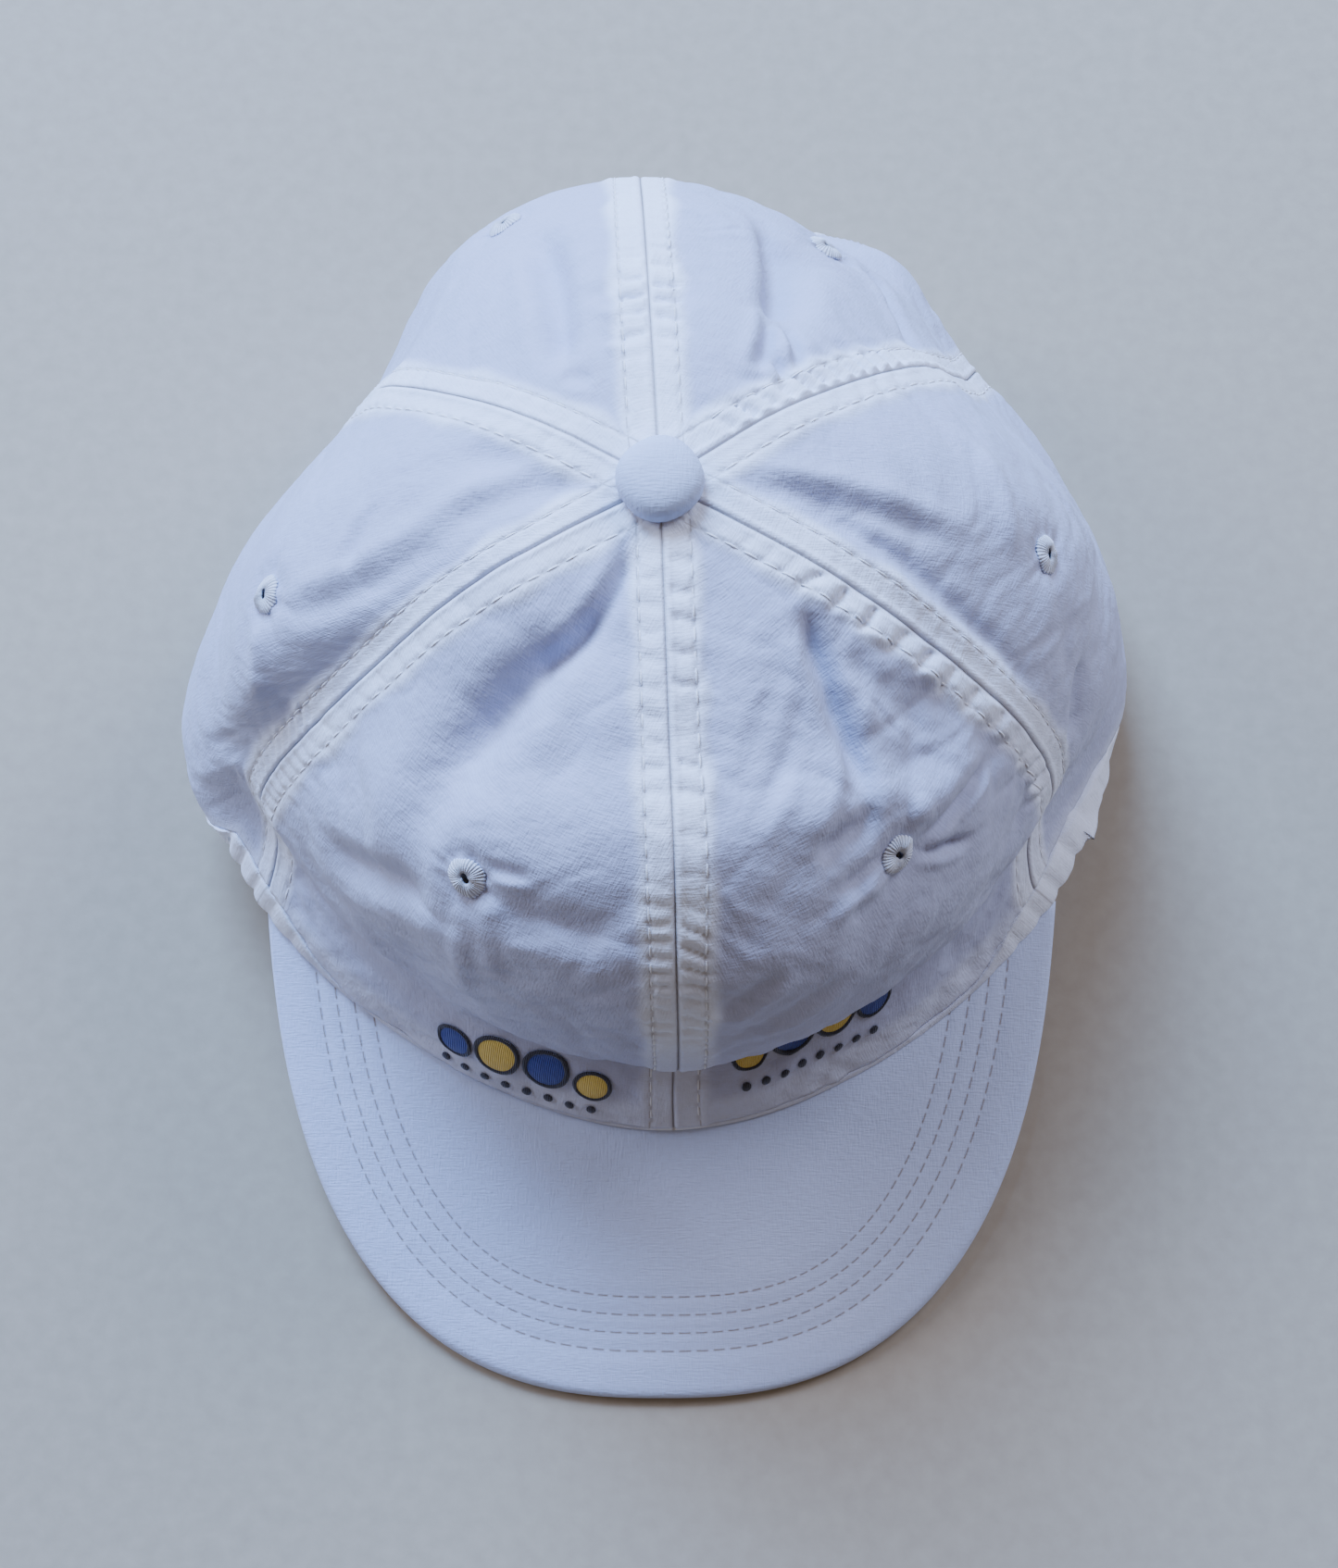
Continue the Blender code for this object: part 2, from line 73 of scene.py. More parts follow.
# Sections of the slumped crown, seams and panel middles in turn from the front seam round by the right side.
# Turns are degrees, reaches shares of RIM_RADIUS, heights shares of CROWN_HEIGHT. Lift is the share of the
# peak's height that the rim stands at.
SECTION_COLUMNS = (
    "turn", "rim_turn", "crest_height",
    "shoulder_reach", "shoulder_height", "brow_reach", "brow_height",
    "tuck_reach", "tuck_height", "flare_reach", "flare_height", "rim_reach", "lift",
)
SECTIONS = {
    "front_seam":        (2, 1.5, 0.975, 0.86, 0.83, 1.00, 0.48, 0.90, 0.33, 0.93, 0.25, 1.00, 1.3),
    "front_right":       (34, 31, 0.955, 0.85, 0.72, 0.95, 0.45, 0.885, 0.33, 0.91, 0.25, 0.975, 1.3),
    "right_front_seam":  (63, 59, 0.950, 0.75, 0.72, 0.91, 0.43, 0.89, 0.33, 0.93, 0.25, 0.99, 1.3),
    "side_right":        (92, 92, 0.950, 0.78, 0.71, 0.95, 0.42, 1.01, 0.24, 1.05, 0.14, 1.03, 0.2),
    "right_back_seam":   (125, 134, 0.955, 0.60, 0.77, 0.76, 0.55, 0.86, 0.42, 0.99, 0.27, 0.98, 0.0),
    "back_right":        (149, 153, 0.960, 0.60, 0.79, 0.80, 0.57, 0.92, 0.44, 1.06, 0.33, 1.01, 0.0),
    "back_seam":         (183, 182, 0.955, 0.64, 0.81, 0.85, 0.62, 0.94, 0.45, 0.98, 0.25, 0.99, 0.0),
    "back_left":         (206, 205, 0.955, 0.62, 0.79, 0.85, 0.57, 0.96, 0.44, 1.03, 0.33, 1.00, 0.0),
    "left_back_seam":    (239, 231, 0.950, 0.60, 0.76, 0.72, 0.57, 0.80, 0.42, 0.90, 0.25, 0.96, 0.0),
    "side_left":         (282, 277, 0.945, 0.79, 0.72, 0.96, 0.45, 1.03, 0.32, 1.07, 0.20, 1.03, 0.2),
    "left_front_seam":   (297, 300, 0.945, 0.77, 0.64, 0.93, 0.42, 0.93, 0.31, 0.98, 0.24, 1.01, 1.3),
    "front_left":        (330, 330, 0.965, 0.85, 0.76, 0.95, 0.42, 0.92, 0.33, 0.935, 0.25, 0.975, 1.3),
}
STEP_TURN = 360 / len(SECTIONS)
COLUMN = {name: np.array([row[k] for row in SECTIONS.values()]) for k, name in enumerate(SECTION_COLUMNS)}
for name in ("turn", "rim_turn"):
    COLUMN[name] = COLUMN[name] - STEP_TURN * np.arange(len(SECTIONS))


def curve(a, b, c, d, t):
    """A smooth curve's value on its way from b to c, where a comes before them and d after."""
    return b + 0.5 * t * (c - a + t * (2 * a - 5 * b + 4 * c - d + t * (3 * (b - c) + d - a)))


def section(name, place):
    """A column's value at a place from 0 to 12 round the crown, on a curve through the table's rows."""
    values, i = COLUMN[name], int(place // 1)
    value = curve(*(values[(i + k) % len(values)] for k in (-1, 0, 1, 2)), place - i)
    return value + STEP_TURN * place if name.endswith("turn") else value


# The peak's plan and slope come first, because the front of the rim is sewn to it.
PEAK_WIDTH = 0.1675
PEAK_LENGTH = 0.0545
PEAK_SQUARENESS = 2.6
PEAK_NARROWING = 0.0067
PEAK_CORNER = -RIM_RADIUS * 0.505
PEAK_TIP = -RIM_RADIUS * SECTIONS["front_seam"][SECTION_COLUMNS.index("rim_reach")] - PEAK_LENGTH
PEAK_THICKNESS = 0.0030
PEAK_ARCH = 0.010
PEAK_FALL = 0.28
PEAK_EDGE_ROUND = 0.0010


def peak_outline(turns):
    """Outer edge of the peak in plan. Turns run from -90 degrees at the left corner to 90 at the right."""
    s, c = np.sin(np.radians(turns)), np.cos(np.radians(turns))
    forward = np.abs(c) ** (2 / PEAK_SQUARENESS)
    half = (PEAK_WIDTH / 2 - PEAK_NARROWING * forward) * np.abs(s) ** (2 / PEAK_SQUARENESS)
    return np.stack([np.sign(s) * half, PEAK_CORNER - (PEAK_CORNER - PEAK_TIP) * forward], -1)


def peak_rise(x, y):
    return PEAK_FALL * (y - PEAK_TIP) - PEAK_ARCH * (x / (PEAK_WIDTH / 2)) ** 2


PEAK_LOWEST = peak_rise(*peak_outline(np.arange(-90, 91, 3)).T).min()


def peak_top(x, y):
    return PEAK_THICKNESS + peak_rise(x, y) - PEAK_LOWEST - PEAK_FALL * PEAK_EDGE_ROUND


# The frame's own place for all this: its peak is as wide on either side, and its tip is foremost.
peak_low, peak_high = (Vector(corner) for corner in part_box("peak"))
SHIFT = np.array([(peak_low.x + peak_high.x) / 2, peak_low.y - PEAK_TIP, 0.0])


def ahead(turn, reach, centre_y=0.0, height=0.0):
    return [reach * sin(radians(turn)), centre_y - reach * cos(radians(turn)), height]


def rim_point(place):
    x, y, _ = ahead(section("rim_turn", place), RIM_RADIUS * section("rim_reach", place))
    return np.array([x, y, min(1.0, max(0.0, section("lift", place))) * (peak_top(x, y) + CLEARANCE)])


def run_along(line):
    """How far along a line each of its points lies."""
    return np.concatenate([[0], np.cumsum(np.linalg.norm(np.diff(line, axis=0), axis=1))])


def unit(ways):
    return ways / np.linalg.norm(ways, axis=-1, keepdims=True)


LINES = {}


def drawn_line(place):
    """The outside of the crown at one place, from the button's seat to the rim, and the run along it."""
    key = round(place % len(SECTIONS), 5)
    if key in LINES:
        return LINES[key]
    turn, rim_turn = section("turn", key), section("rim_turn", key)
    shoulder = section("shoulder_reach", key)
    knots = [ahead(turn, SEAT_RADIUS, BUTTON_SETBACK, CROWN_HEIGHT)]
    for angle, centre_y, reach, height in (
        (turn, BUTTON_SETBACK, CREST_SHARE * shoulder, section("crest_height", key)),
        (turn, BUTTON_SETBACK, shoulder, section("shoulder_height", key)),
        (turn, BUTTON_SETBACK, section("brow_reach", key), section("brow_height", key)),
        ((turn + rim_turn) / 2, BUTTON_SETBACK / 2, section("tuck_reach", key), section("tuck_height", key)),
        (rim_turn, 0.0, section("flare_reach", key), section("flare_height", key)),
    ):
        knots.append(ahead(angle, RIM_RADIUS * reach, centre_y, CROWN_HEIGHT * height))
    knots = np.array(knots + [rim_point(key)])
    ends = np.vstack([2 * knots[0] - knots[1], knots, 2 * knots[-1] - knots[-2]])
    ends[0, 2] = knots[0, 2]
    t = np.linspace(0, 1, CURVE_STEPS, endpoint=False)[:, None]
    pieces = [curve(*four, t) for four in zip(ends, ends[1:], ends[2:], ends[3:])]
    line = np.vstack(pieces + [knots[-1:]])
    LINES[key] = line, run_along(line)
    return LINES[key]


def bare_rows(places, distances):
    """The crown's points at each place, at rows of distances from the seat: rows by places by 3."""
    found = np.empty((*distances.shape, 3))
    for i, place in enumerate(places):
        line, run = drawn_line(place)
        for axis in range(3):
            found[:, i, axis] = np.interp(distances[:, i], run, line[:, axis])
    return found


def primitive(add, name, **sizes):
    """A Blender primitive to be shaped, added with nothing else selected."""
    bpy.ops.object.select_all(action="DESELECT")
    add(**sizes)
    piece = bpy.context.object
    piece.name = piece.data.name = name
    return piece


def corners(piece):
    flat = np.empty(3 * len(piece.data.vertices))
    piece.data.vertices.foreach_get("co", flat)
    return flat.reshape(-1, 3)


def grid(name, columns, rows):
    """A grid primitive to lay over a form, and its vertices' shares across and down it, rim row first."""
    add = bpy.ops.mesh.primitive_grid_add
    piece = primitive(add, name, x_subdivisions=columns, y_subdivisions=rows, size=1)
    flat = corners(piece).reshape(rows + 1, columns + 1, 3)
    return piece, flat[:, :, 0] + 0.5, 0.5 - flat[:, :, 1]


def lay(piece, points, chart=None):
    """Moves a piece's vertices to points, and gives it its chart as UVs in metres of cloth."""
    mesh = piece.data
    mesh.vertices.foreach_set("co", (points + SHIFT).reshape(-1))
    if chart is not None:
        loops = np.empty(len(mesh.loops), int)
        mesh.loops.foreach_get("vertex_index", loops)
        mesh.uv_layers.active.name = "cloth"
        mesh.uv_layers.active.data.foreach_set("uv", chart.reshape(-1, 2)[loops].reshape(-1))
    mesh.update()


def mark(piece, **marks):
    """Keeps values for each vertex as attributes that the material reads."""
    for name, values in marks.items():
        kept = piece.data.attributes.new(name, "FLOAT", "POINT")
        kept.data.foreach_set("value", np.ascontiguousarray(values, dtype=np.float32).reshape(-1))


@contextmanager
def reshaping(piece):
    """A piece's mesh opened for bmesh's operators, and written back after them."""
    shape = bmesh.new()
    shape.from_mesh(piece.data)
    yield shape
    shape.to_mesh(piece.data)
    shape.free()


def close(piece):
    """Joins the edges of a grid that meets itself, fills its ends and turns its faces outwards."""
    with reshaping(piece) as shape:
        bmesh.ops.remove_doubles(shape, verts=shape.verts, dist=1e-6)
        bmesh.ops.holes_fill(shape, edges=shape.edges)
        bmesh.ops.recalc_face_normals(shape, faces=shape.faces)


LATTICE = 64


def ripple(u, v, size, seed):
    """Smooth seeded noise from -1 to 1 over a chart, its swells about size across."""
    lattice = np.random.default_rng(seed).uniform(-1, 1, (LATTICE, LATTICE))
    i, j = np.floor(u / size).astype(int), np.floor(v / size).astype(int)
    s, t = u / size - i, v / size - j
    s, t = s * s * (3 - 2 * s), t * t * (3 - 2 * t)
    i, next_i = i % LATTICE, (i + 1) % LATTICE
    near, far = (
        lattice[i, row] * (1 - s) + lattice[next_i, row] * s for row in (j % LATTICE, (j + 1) % LATTICE)
    )
    return near * (1 - t) + far * t


def fade(value, start, end):
    """0 at start and 1 at end, eased, whichever of the two is greater."""
    t = np.clip((value - start) / (end - start), 0, 1)
    return t * t * (3 - 2 * t)


def bell(value, width):
    return np.exp(-((value / width) ** 2))


def boxy(value, power):
    """A sine or cosine made squarer, with its sign kept."""
    return np.sign(value) * np.abs(value) ** power


def turned(x, y, lean):
    """Chart points as seen along a direction that leans from the panel's own."""
    return x * cos(lean) + y * sin(lean), y * cos(lean) - x * sin(lean)


def nearest_on(line, x, y):
    """How far points are from a line, the same with its side's sign, and how many steps on along it."""
    gap, side, along = np.full(x.shape, 1e9), np.zeros_like(x), np.zeros_like(x)
    for i, (a, b) in enumerate(zip(line, line[1:])):
        run = b - a
        share = np.clip(((x - a[0]) * run[0] + (y - a[1]) * run[1]) / (run @ run), 0, 1)
        off_x, off_y = x - a[0] - share * run[0], y - a[1] - share * run[1]
        found = np.hypot(off_x, off_y)
        closer = found < gap
        gap = np.where(closer, found, gap)
        side = np.where(closer, np.sign(run[0] * off_y - run[1] * off_x) * found, side)
        along = np.where(closer, i + share, along)
    return gap, side, along


# Folds pressed into the panels, each through three points. Across is a share from seam to seam, down a share
# from the button's seat to the hem. Width, depth and ridge are millimetres. The ridge stands beside the
# hollow, and a fold of negative depth is a ridge itself.
FOLD_DEPTH = 1.7
FOLD_POINTS = 25
FOLD_COLUMNS = (
    "panel", "from_across", "from_down", "mid_across", "mid_down", "to_across", "to_down",
    "width", "depth", "ridge",
)
FOLDS = (
    (5, 0.69, 0.040, 0.585, 0.15, 0.40, 0.27, 2.2, 1.5, 0.4),
    (5, 0.60, 0.13, 0.44, 0.265, 0.39, 0.42, 3.8, 1.4, 0.2),
    (5, 0.51, 0.18, 0.39, 0.35, 0.43, 0.60, 6.0, 1.7, 0.1),
    (5, 0.60, 0.10, 0.42, 0.28, 0.40, 0.50, 9.5, 1.4, 0.0),
    (5, 0.22, 0.715, 0.36, 0.63, 0.49, 0.545, 5.0, 1.9, 0.0),
    (5, 0.54, 0.52, 0.575, 0.62, 0.58, 0.78, 2.2, -0.5, 0.0),
    (5, 0.60, 0.50, 0.63, 0.58, 0.66, 0.72, 2.0, -0.35, 0.0),
    (5, 0.44, 0.62, 0.47, 0.76, 0.50, 0.95, 6.0, 0.5, 0.0),
    (5, 0.58, 0.47, 0.63, 0.46, 0.70, 0.45, 1.4, 0.7, 0.3),
    (5, 0.62, 0.51, 0.76, 0.495, 0.92, 0.48, 4.0, 0.8, 0.3),
    (5, 0.66, 0.14, 0.67, 0.25, 0.68, 0.37, 4.0, 0.5, 0.2),
    (0, 0.77, 0.19, 0.60, 0.31, 0.50, 0.45, 2.8, 2.3, 0.6),
    (0, 0.92, 0.37, 0.76, 0.41, 0.58, 0.455, 9.0, 1.2, 0.0),
    (0, 0.31, 0.44, 0.42, 0.445, 0.53, 0.45, 2.6, 1.2, 0.0),
    (0, 0.54, 0.48, 0.72, 0.50, 0.90, 0.535, 3.4, -1.0, 0.0),
    (0, 0.56, 0.53, 0.73, 0.54, 0.90, 0.56, 1.4, 1.1, 0.3),
    (0, 0.55, 0.535, 0.63, 0.57, 0.72, 0.61, 1.2, 1.1, 0.4),
    (0, 0.28, 0.34, 0.35, 0.38, 0.42, 0.42, 7.0, -1.0, 0.0),
    (0, 0.50, 0.53, 0.40, 0.525, 0.30, 0.525, 2.2, -1.0, 0.0),
    (0, 0.48, 0.495, 0.41, 0.50, 0.33, 0.495, 1.5, 0.5, 0.0),
    (0, 0.74, 0.25, 0.76, 0.34, 0.80, 0.44, 2.4, 0.5, 0.2),
    (0, 0.06, 0.62, 0.12, 0.59, 0.21, 0.55, 2.2, 0.7, 0.4),
    (0, 0.10, 0.70, 0.20, 0.66, 0.34, 0.62, 2.6, 0.6, 0.4),
    (1, 0.34, 0.38, 0.40, 0.20, 0.47, 0.06, 2.4, 0.9, 0.4),
    (1, 0.31, 0.11, 0.26, 0.25, 0.22, 0.44, 5.0, 0.8, 0.0),
    (1, 0.40, 0.12, 0.19, 0.34, 0.10, 0.62, 2.0, 0.8, 0.5),
    (1, 0.76, 0.40, 0.52, 0.42, 0.38, 0.45, 2.4, -0.6, 0.0),
    (1, 0.26, 0.70, 0.18, 0.745, 0.10, 0.79, 3.0, 1.2, 0.3),
    (2, 0.74, 0.53, 0.61, 0.37, 0.53, 0.26, 2.4, 1.3, 0.4),
    (2, 0.66, 0.50, 0.58, 0.375, 0.48, 0.25, 5.5, 2.2, 0.0),
    (2, 0.56, 0.28, 0.47, 0.22, 0.37, 0.155, 1.8, 1.1, 0.5),
    (2, 0.52, 0.28, 0.34, 0.245, 0.17, 0.21, 1.8, 1.0, 0.5),
    (2, 0.42, 0.21, 0.22, 0.19, 0.05, 0.17, 1.6, 0.9, 0.4),
    (2, 0.50, 0.63, 0.30, 0.56, 0.06, 0.49, 2.5, 1.0, 0.4),
    (3, 0.40, 0.48, 0.49, 0.29, 0.70, 0.17, 3.4, 2.3, 0.3),
    (3, 0.71, 0.17, 0.64, 0.15, 0.56, 0.13, 1.8, 0.5, 0.2),
    (3, 0.32, 0.24, 0.18, 0.23, 0.05, 0.22, 1.8, 0.5, 0.3),
    (3, 0.38, 0.18, 0.22, 0.17, 0.06, 0.16, 1.6, 0.5, 0.3),
    (4, 0.34, 0.05, 0.39, 0.15, 0.50, 0.24, 3.0, 0.7, 0.5),
    (4, 0.46, 0.20, 0.55, 0.34, 0.50, 0.49, 3.0, 0.6, 0.5),
    (4, 0.60, 0.15, 0.68, 0.30, 0.70, 0.50, 8.0, 0.5, 0.0),
    (4, 0.62, 0.78, 0.74, 0.81, 0.86, 0.84, 5.8, 0.4, 0.2),
    (4, 0.26, 0.09, 0.22, 0.16, 0.18, 0.25, 4.0, 0.8, 0.2),
    (4, 0.31, 0.33, 0.39, 0.35, 0.47, 0.38, 1.8, 0.5, 0.3),
    (4, 0.49, 0.52, 0.60, 0.57, 0.73, 0.64, 2.0, -0.6, 0.0),
)


def fold_relief(k, x, y, chart_place):
    """Height in mm that the folds give panel k at chart points. chart_place finds a fold's own points."""
    total = np.zeros_like(x)
    t = np.linspace(0, 1, FOLD_POINTS)
    parts = {"from": (1 - t) * (1 - 2 * t), "mid": 4 * t * (1 - t), "to": t * (2 * t - 1)}
    for values in FOLDS:
        fold = dict(zip(FOLD_COLUMNS, values))
        if fold["panel"] != k:
            continue
        across, down = (
            sum(part * fold[f"{spot}_{way}"] for spot, part in parts.items()) for way in ("across", "down")
        )
        gap, side, along = nearest_on(chart_place(across, down), x, y)
        along /= FOLD_POINTS - 1
        hollow = fold["depth"] * bell(gap, fold["width"])
        ridge = fold["ridge"] * bell(side - 1.7 * fold["width"], 0.9 * fold["width"])
        total -= FOLD_DEPTH * (hollow - ridge) * fade(along, -0.02, 0.25) * fade(along, 1.02, 0.70)
    return total


# Puckers that the topstitching draws across the double layers. Seams are numbered from the front one round
# by the right side, and side is after or before the seam going that way. The rest are millimetres: start and
# end down the seam, pitch along it, depth, slant along the seam for each one away from it, and reach.
PUCKER_COLUMNS = ("seam", "side", "start", "end", "pitch", "depth", "slant", "reach")
PUCKERS = (
    (0, "after", 66, 112, 4.6, 1.00, -0.55, 5.8),
    (0, "before", 62, 112, 3.7, 0.95, 0.10, 5.2),
    (0, "after", 4, 40, 5.4, 1.05, -0.2, 5.8),
    (0, "after", 38, 70, 5.8, 0.80, -0.3, 5.6),
    (0, "before", 4, 66, 4.8, 0.55, 0.1, 4.8),
    (0, "after", 126, 150, 5.0, 0.30, 0.0, 5.0),
    (0, "before", 126, 150, 5.0, 0.30, 0.0, 5.0),
    (1, "before", 22, 114, 6.9, 1.9, 0.20, 6.2),
    (1, "before", 6, 30, 4.6, 0.45, 0.2, 5.2),
    (1, "after", 20, 110, 5.0, 0.20, 0.0, 5.0),
    (2, "before", 30, 64, 7.0, 0.80, 0.2, 5.4),
    (2, "before", 6, 34, 4.6, 0.35, 0.2, 5.4),
    (2, "after", 8, 64, 4.4, 2.4, 0.2, 5.6),
    (2, "after", 60, 120, 4.6, 0.35, 0.1, 5.0),
    (3, "before", 10, 150, 4.6, 0.30, 0.1, 5.0),
    (3, "before", 20, 56, 5.2, 1.8, 0.1, 5.6),
    (3, "after", 10, 150, 4.2, 0.32, -0.1, 5.0),
    (3, "after", 18, 54, 5.4, 1.8, -0.1, 5.6),
    (4, "before", 10, 120, 4.4, 0.35, 0.0, 5.0),
    (4, "after", 10, 120, 4.6, 0.40, -0.2, 5.0),
    (5, "before", 14, 86, 5.6, 0.24, 0.3, 5.2),
    (5, "before", 78, 125, 3.4, 0.60, 0.7, 5.2),
    (5, "after", 30, 90, 6.2, 0.34, 0.2, 5.0),
    (5, "after", 84, 125, 3.6, 0.80, 0.0, 5.2),
)
STITCH_OFFSET = {"after": 5.2, "before": 4.5}
STITCH_PITCH = 3.7
STITCH_SINK = 0.16
NEEDLE_SINK = 0.22
DOUBLE_LAYER = 0.42
# Each seam's groove, its depth and width, and how far the lap beside it stands.
SEAM_GROOVES = ((0.32, 0.24), (0.36, 0.26), (0.32, 0.24), (0.28, 0.24), (0.30, 0.24), (0.60, 0.32))
SEAM_LAP = {"after": 0.24, "before": 0.08}


def seam_relief(seam, side, gap, down):
    """Height in mm beside a seam, gap mm away from its line and down mm from the seat."""
    row = STITCH_OFFSET[side]

    def lump(size, seed, across=gap, move=0):
        """Noise over this side's cloth, its points being as far down the seam and across it."""
        return ripple(down + move, across + move, size, seed + seam)

    layers = fade(gap + 0.9 * lump(7.0, 50, gap * 0), row + 3.2, row - 0.1)
    groove_depth, groove_width = SEAM_GROOVES[seam]
    height = DOUBLE_LAYER * layers - groove_depth * bell(gap, groove_width)
    height += SEAM_LAP[side] * bell(gap - 1.0, 0.6)
    height += layers * (0.24 * lump(8.0, 30, move=300) + 0.12 * lump(3.6, 20))
    needle = (0.5 + 0.5 * np.cos(2 * pi * down / STITCH_PITCH)) ** 2
    height -= (STITCH_SINK + NEEDLE_SINK * needle) * bell(gap - row, 0.5)
    wander = 0.28 * lump(13.0, 40) + 0.12 * lump(3.5, 60)
    for values in PUCKERS:
        pucker = dict(zip(PUCKER_COLUMNS, values))
        if (pucker["seam"], pucker["side"]) != (seam, side):
            continue
        start, end, reach = pucker["start"], pucker["end"], pucker["reach"]
        phase = (down + pucker["slant"] * gap) / pucker["pitch"] + wander
        strength = pucker["depth"] * (0.85 + 0.4 * lump(8.0, 80, gap * 0))
        strength = strength * fade(down, start, start + 10) * fade(down, end, end - 8)
        pillow = np.abs(np.sin(pi * phase)) ** 0.6 - 0.68
        height += pillow * strength * fade(gap, 0.1, 1.6) * fade(gap, reach + 1.0, reach - 1.2)
        fan = np.sin(2 * pi * (0.5 * phase + 0.25 * lump(5.0, 90)))
        height += 0.22 * fan * strength * fade(gap, row - 0.4, row + 1.4) * bell(gap - row, 6.5)
    layers = layers * (0.86 + 0.14 * lump(9.0, 70))
    # Low on the front seam the double layers' whiteness is faded out: painted shade where the crown turns
    # down, away from the light.
    if seam == 0:
        layers = layers * (1 - 0.45 * fade(down, 100, 125))
    # The third value is the painted shade of the needle holes along the stitch row.
    return height, layers, needle * bell(gap - row, 0.4)


# Eyelets pull the cloth in about them. Across is a share from seam to seam, down a share of EYELET_DISTANCE.
EYELET_DISTANCE = 0.080
EYELET_DIAMETER = 0.0078
EYELET_HOLE = 0.0026
EYELETS = {
    "front_right": (0.51, 0.975),
    "side_right": (0.44, 0.99),
    "back_right": (0.57, 1.13),
    "back_left": (0.45, 1.16),
    "side_left": (0.44, 1.00),
    "front_left": (0.54, 0.94),
}
EYELET_DIP = 0.40
RAYS = 12
RAY_LENGTHS = (6, 13)
RAY_DEPTHS = (0.35, 0.85)


def eyelet_relief(k, x, y):
    """Height in mm round panel k's eyelet, which lies at the chart's point 0, 0."""
    chance = np.random.default_rng(300 + k)
    radius, turn = np.hypot(x, y), np.arctan2(y, x)
    height = -EYELET_DIP * bell(radius - 4.2, 1.9)
    for n in range(RAYS):
        angle = 2 * pi * (n + chance.uniform(-0.3, 0.3)) / RAYS
        length, depth = chance.uniform(*RAY_LENGTHS), chance.uniform(*RAY_DEPTHS)
        swing = np.angle(np.exp(1j * (turn - angle)))
        ray = bell(swing * radius, 0.55 + 0.07 * radius) * fade(radius, 2.5, 4.0) * fade(radius, length, 4.0)
        height -= depth * ray * (np.abs(swing) < 1.2)
    return height


ARCH_WIDTH = 0.086
ARCH_HEIGHT = 0.050
ARCH_HEM = 6.0


def arch_relief(points):
    """Height in mm round the back arch, where the cloth is turned in, and its share of layers."""
    flat = np.hypot(points[:, :, 0] / (ARCH_WIDTH / 2), points[:, :, 2] / ARCH_HEIGHT)
    gap = (flat - 1) * 1000 * (ARCH_WIDTH / 2 + ARCH_HEIGHT) / 2
    behind = points[:, :, 1] > RIM_RADIUS / 2
    layers = fade(gap, ARCH_HEM + 1.6, ARCH_HEM)
    return (0.45 * layers - 0.35 * bell(gap - ARCH_HEM + 0.6, 0.6)) * behind, layers * behind


class Wire:
    """A shader socket that takes part in Python sums."""

    def __init__(self, look, socket):
        self.look, self.socket = look, socket

    def __add__(self, other):
        return self.look.maths("ADD", self, other)

    def __sub__(self, other):
        return self.look.maths("SUBTRACT", self, other)

    def __rsub__(self, other):
        return self.look.maths("SUBTRACT", other, self)

    def __mul__(self, other):
        return self.look.maths("MULTIPLY", self, other)

    __radd__, __rmul__ = __add__, __mul__

    def sine(self):
        return self.look.maths("SINE", self)

    def cosine(self):
        return self.look.maths("COSINE", self)


class Look:
    """A material whose nodes are made from Python expressions."""

    def __init__(self, name, roughness, metallic=0.0, sheen=0.0):
        self.material = bpy.data.materials.new(name)
        self.material.use_nodes = True
        self.tree = self.material.node_tree
        self.shader = self.tree.nodes["Principled BSDF"]
        self.shader.inputs["Roughness"].default_value = roughness
        self.shader.inputs["Metallic"].default_value = metallic
        self.shader.inputs["Sheen Weight"].default_value = sheen

    def put(self, socket, value):
        if isinstance(value, Wire):
            self.tree.links.new(value.socket, socket)
        else:
            socket.default_value = value

    def node(self, kind, settings=None, inputs=None, output=0):
        made = self.tree.nodes.new(kind)
        for name, value in (settings or {}).items():
            setattr(made, name, value)
        for name, value in (inputs or {}).items():
            self.put(made.inputs[name], value)
        return Wire(self, made.outputs[output])

    def maths(self, operation, *values):
        return self.node("ShaderNodeMath", {"operation": operation}, dict(enumerate(values)))

    def blend(self, share, first, second):
        """A colour between two colours."""
        return self.node("ShaderNodeMix", {"data_type": "RGBA"}, {0: share, 6: first, 7: second}, 2)

    def clamp(self, value):
        return self.node("ShaderNodeMath", {"operation": "ADD", "use_clamp": True}, {0: value, 1: 0.0})

    def noise(self, scale, detail=2.0, vector=None, settings=None):
        place = vector or self.node("ShaderNodeTexCoord", output="Object")
        return self.node("ShaderNodeTexNoise", settings, {"Vector": place, "Scale": scale, "Detail": detail})

    def marks(self, name):
        return self.node("ShaderNodeAttribute", {"attribute_name": name}, None, "Fac")

    def colour(self, value):
        self.put(self.shader.inputs["Base Color"], value)

    def bump(self, height, distance, strength=1.0):
        inputs = {"Height": height, "Distance": distance, "Strength": strength}
        self.put(self.shader.inputs["Normal"], self.node("ShaderNodeBump", None, inputs))


THREAD_PITCH = 0.0004
THREAD_RUN = 6.0
# Dark colour for the weave's own uneven tone, and for the painted shade of needle holes, seam grooves and
# stitches.
COTTON_TONE_AND_SHADE = (0.24, 0.19, 0.15, 1)


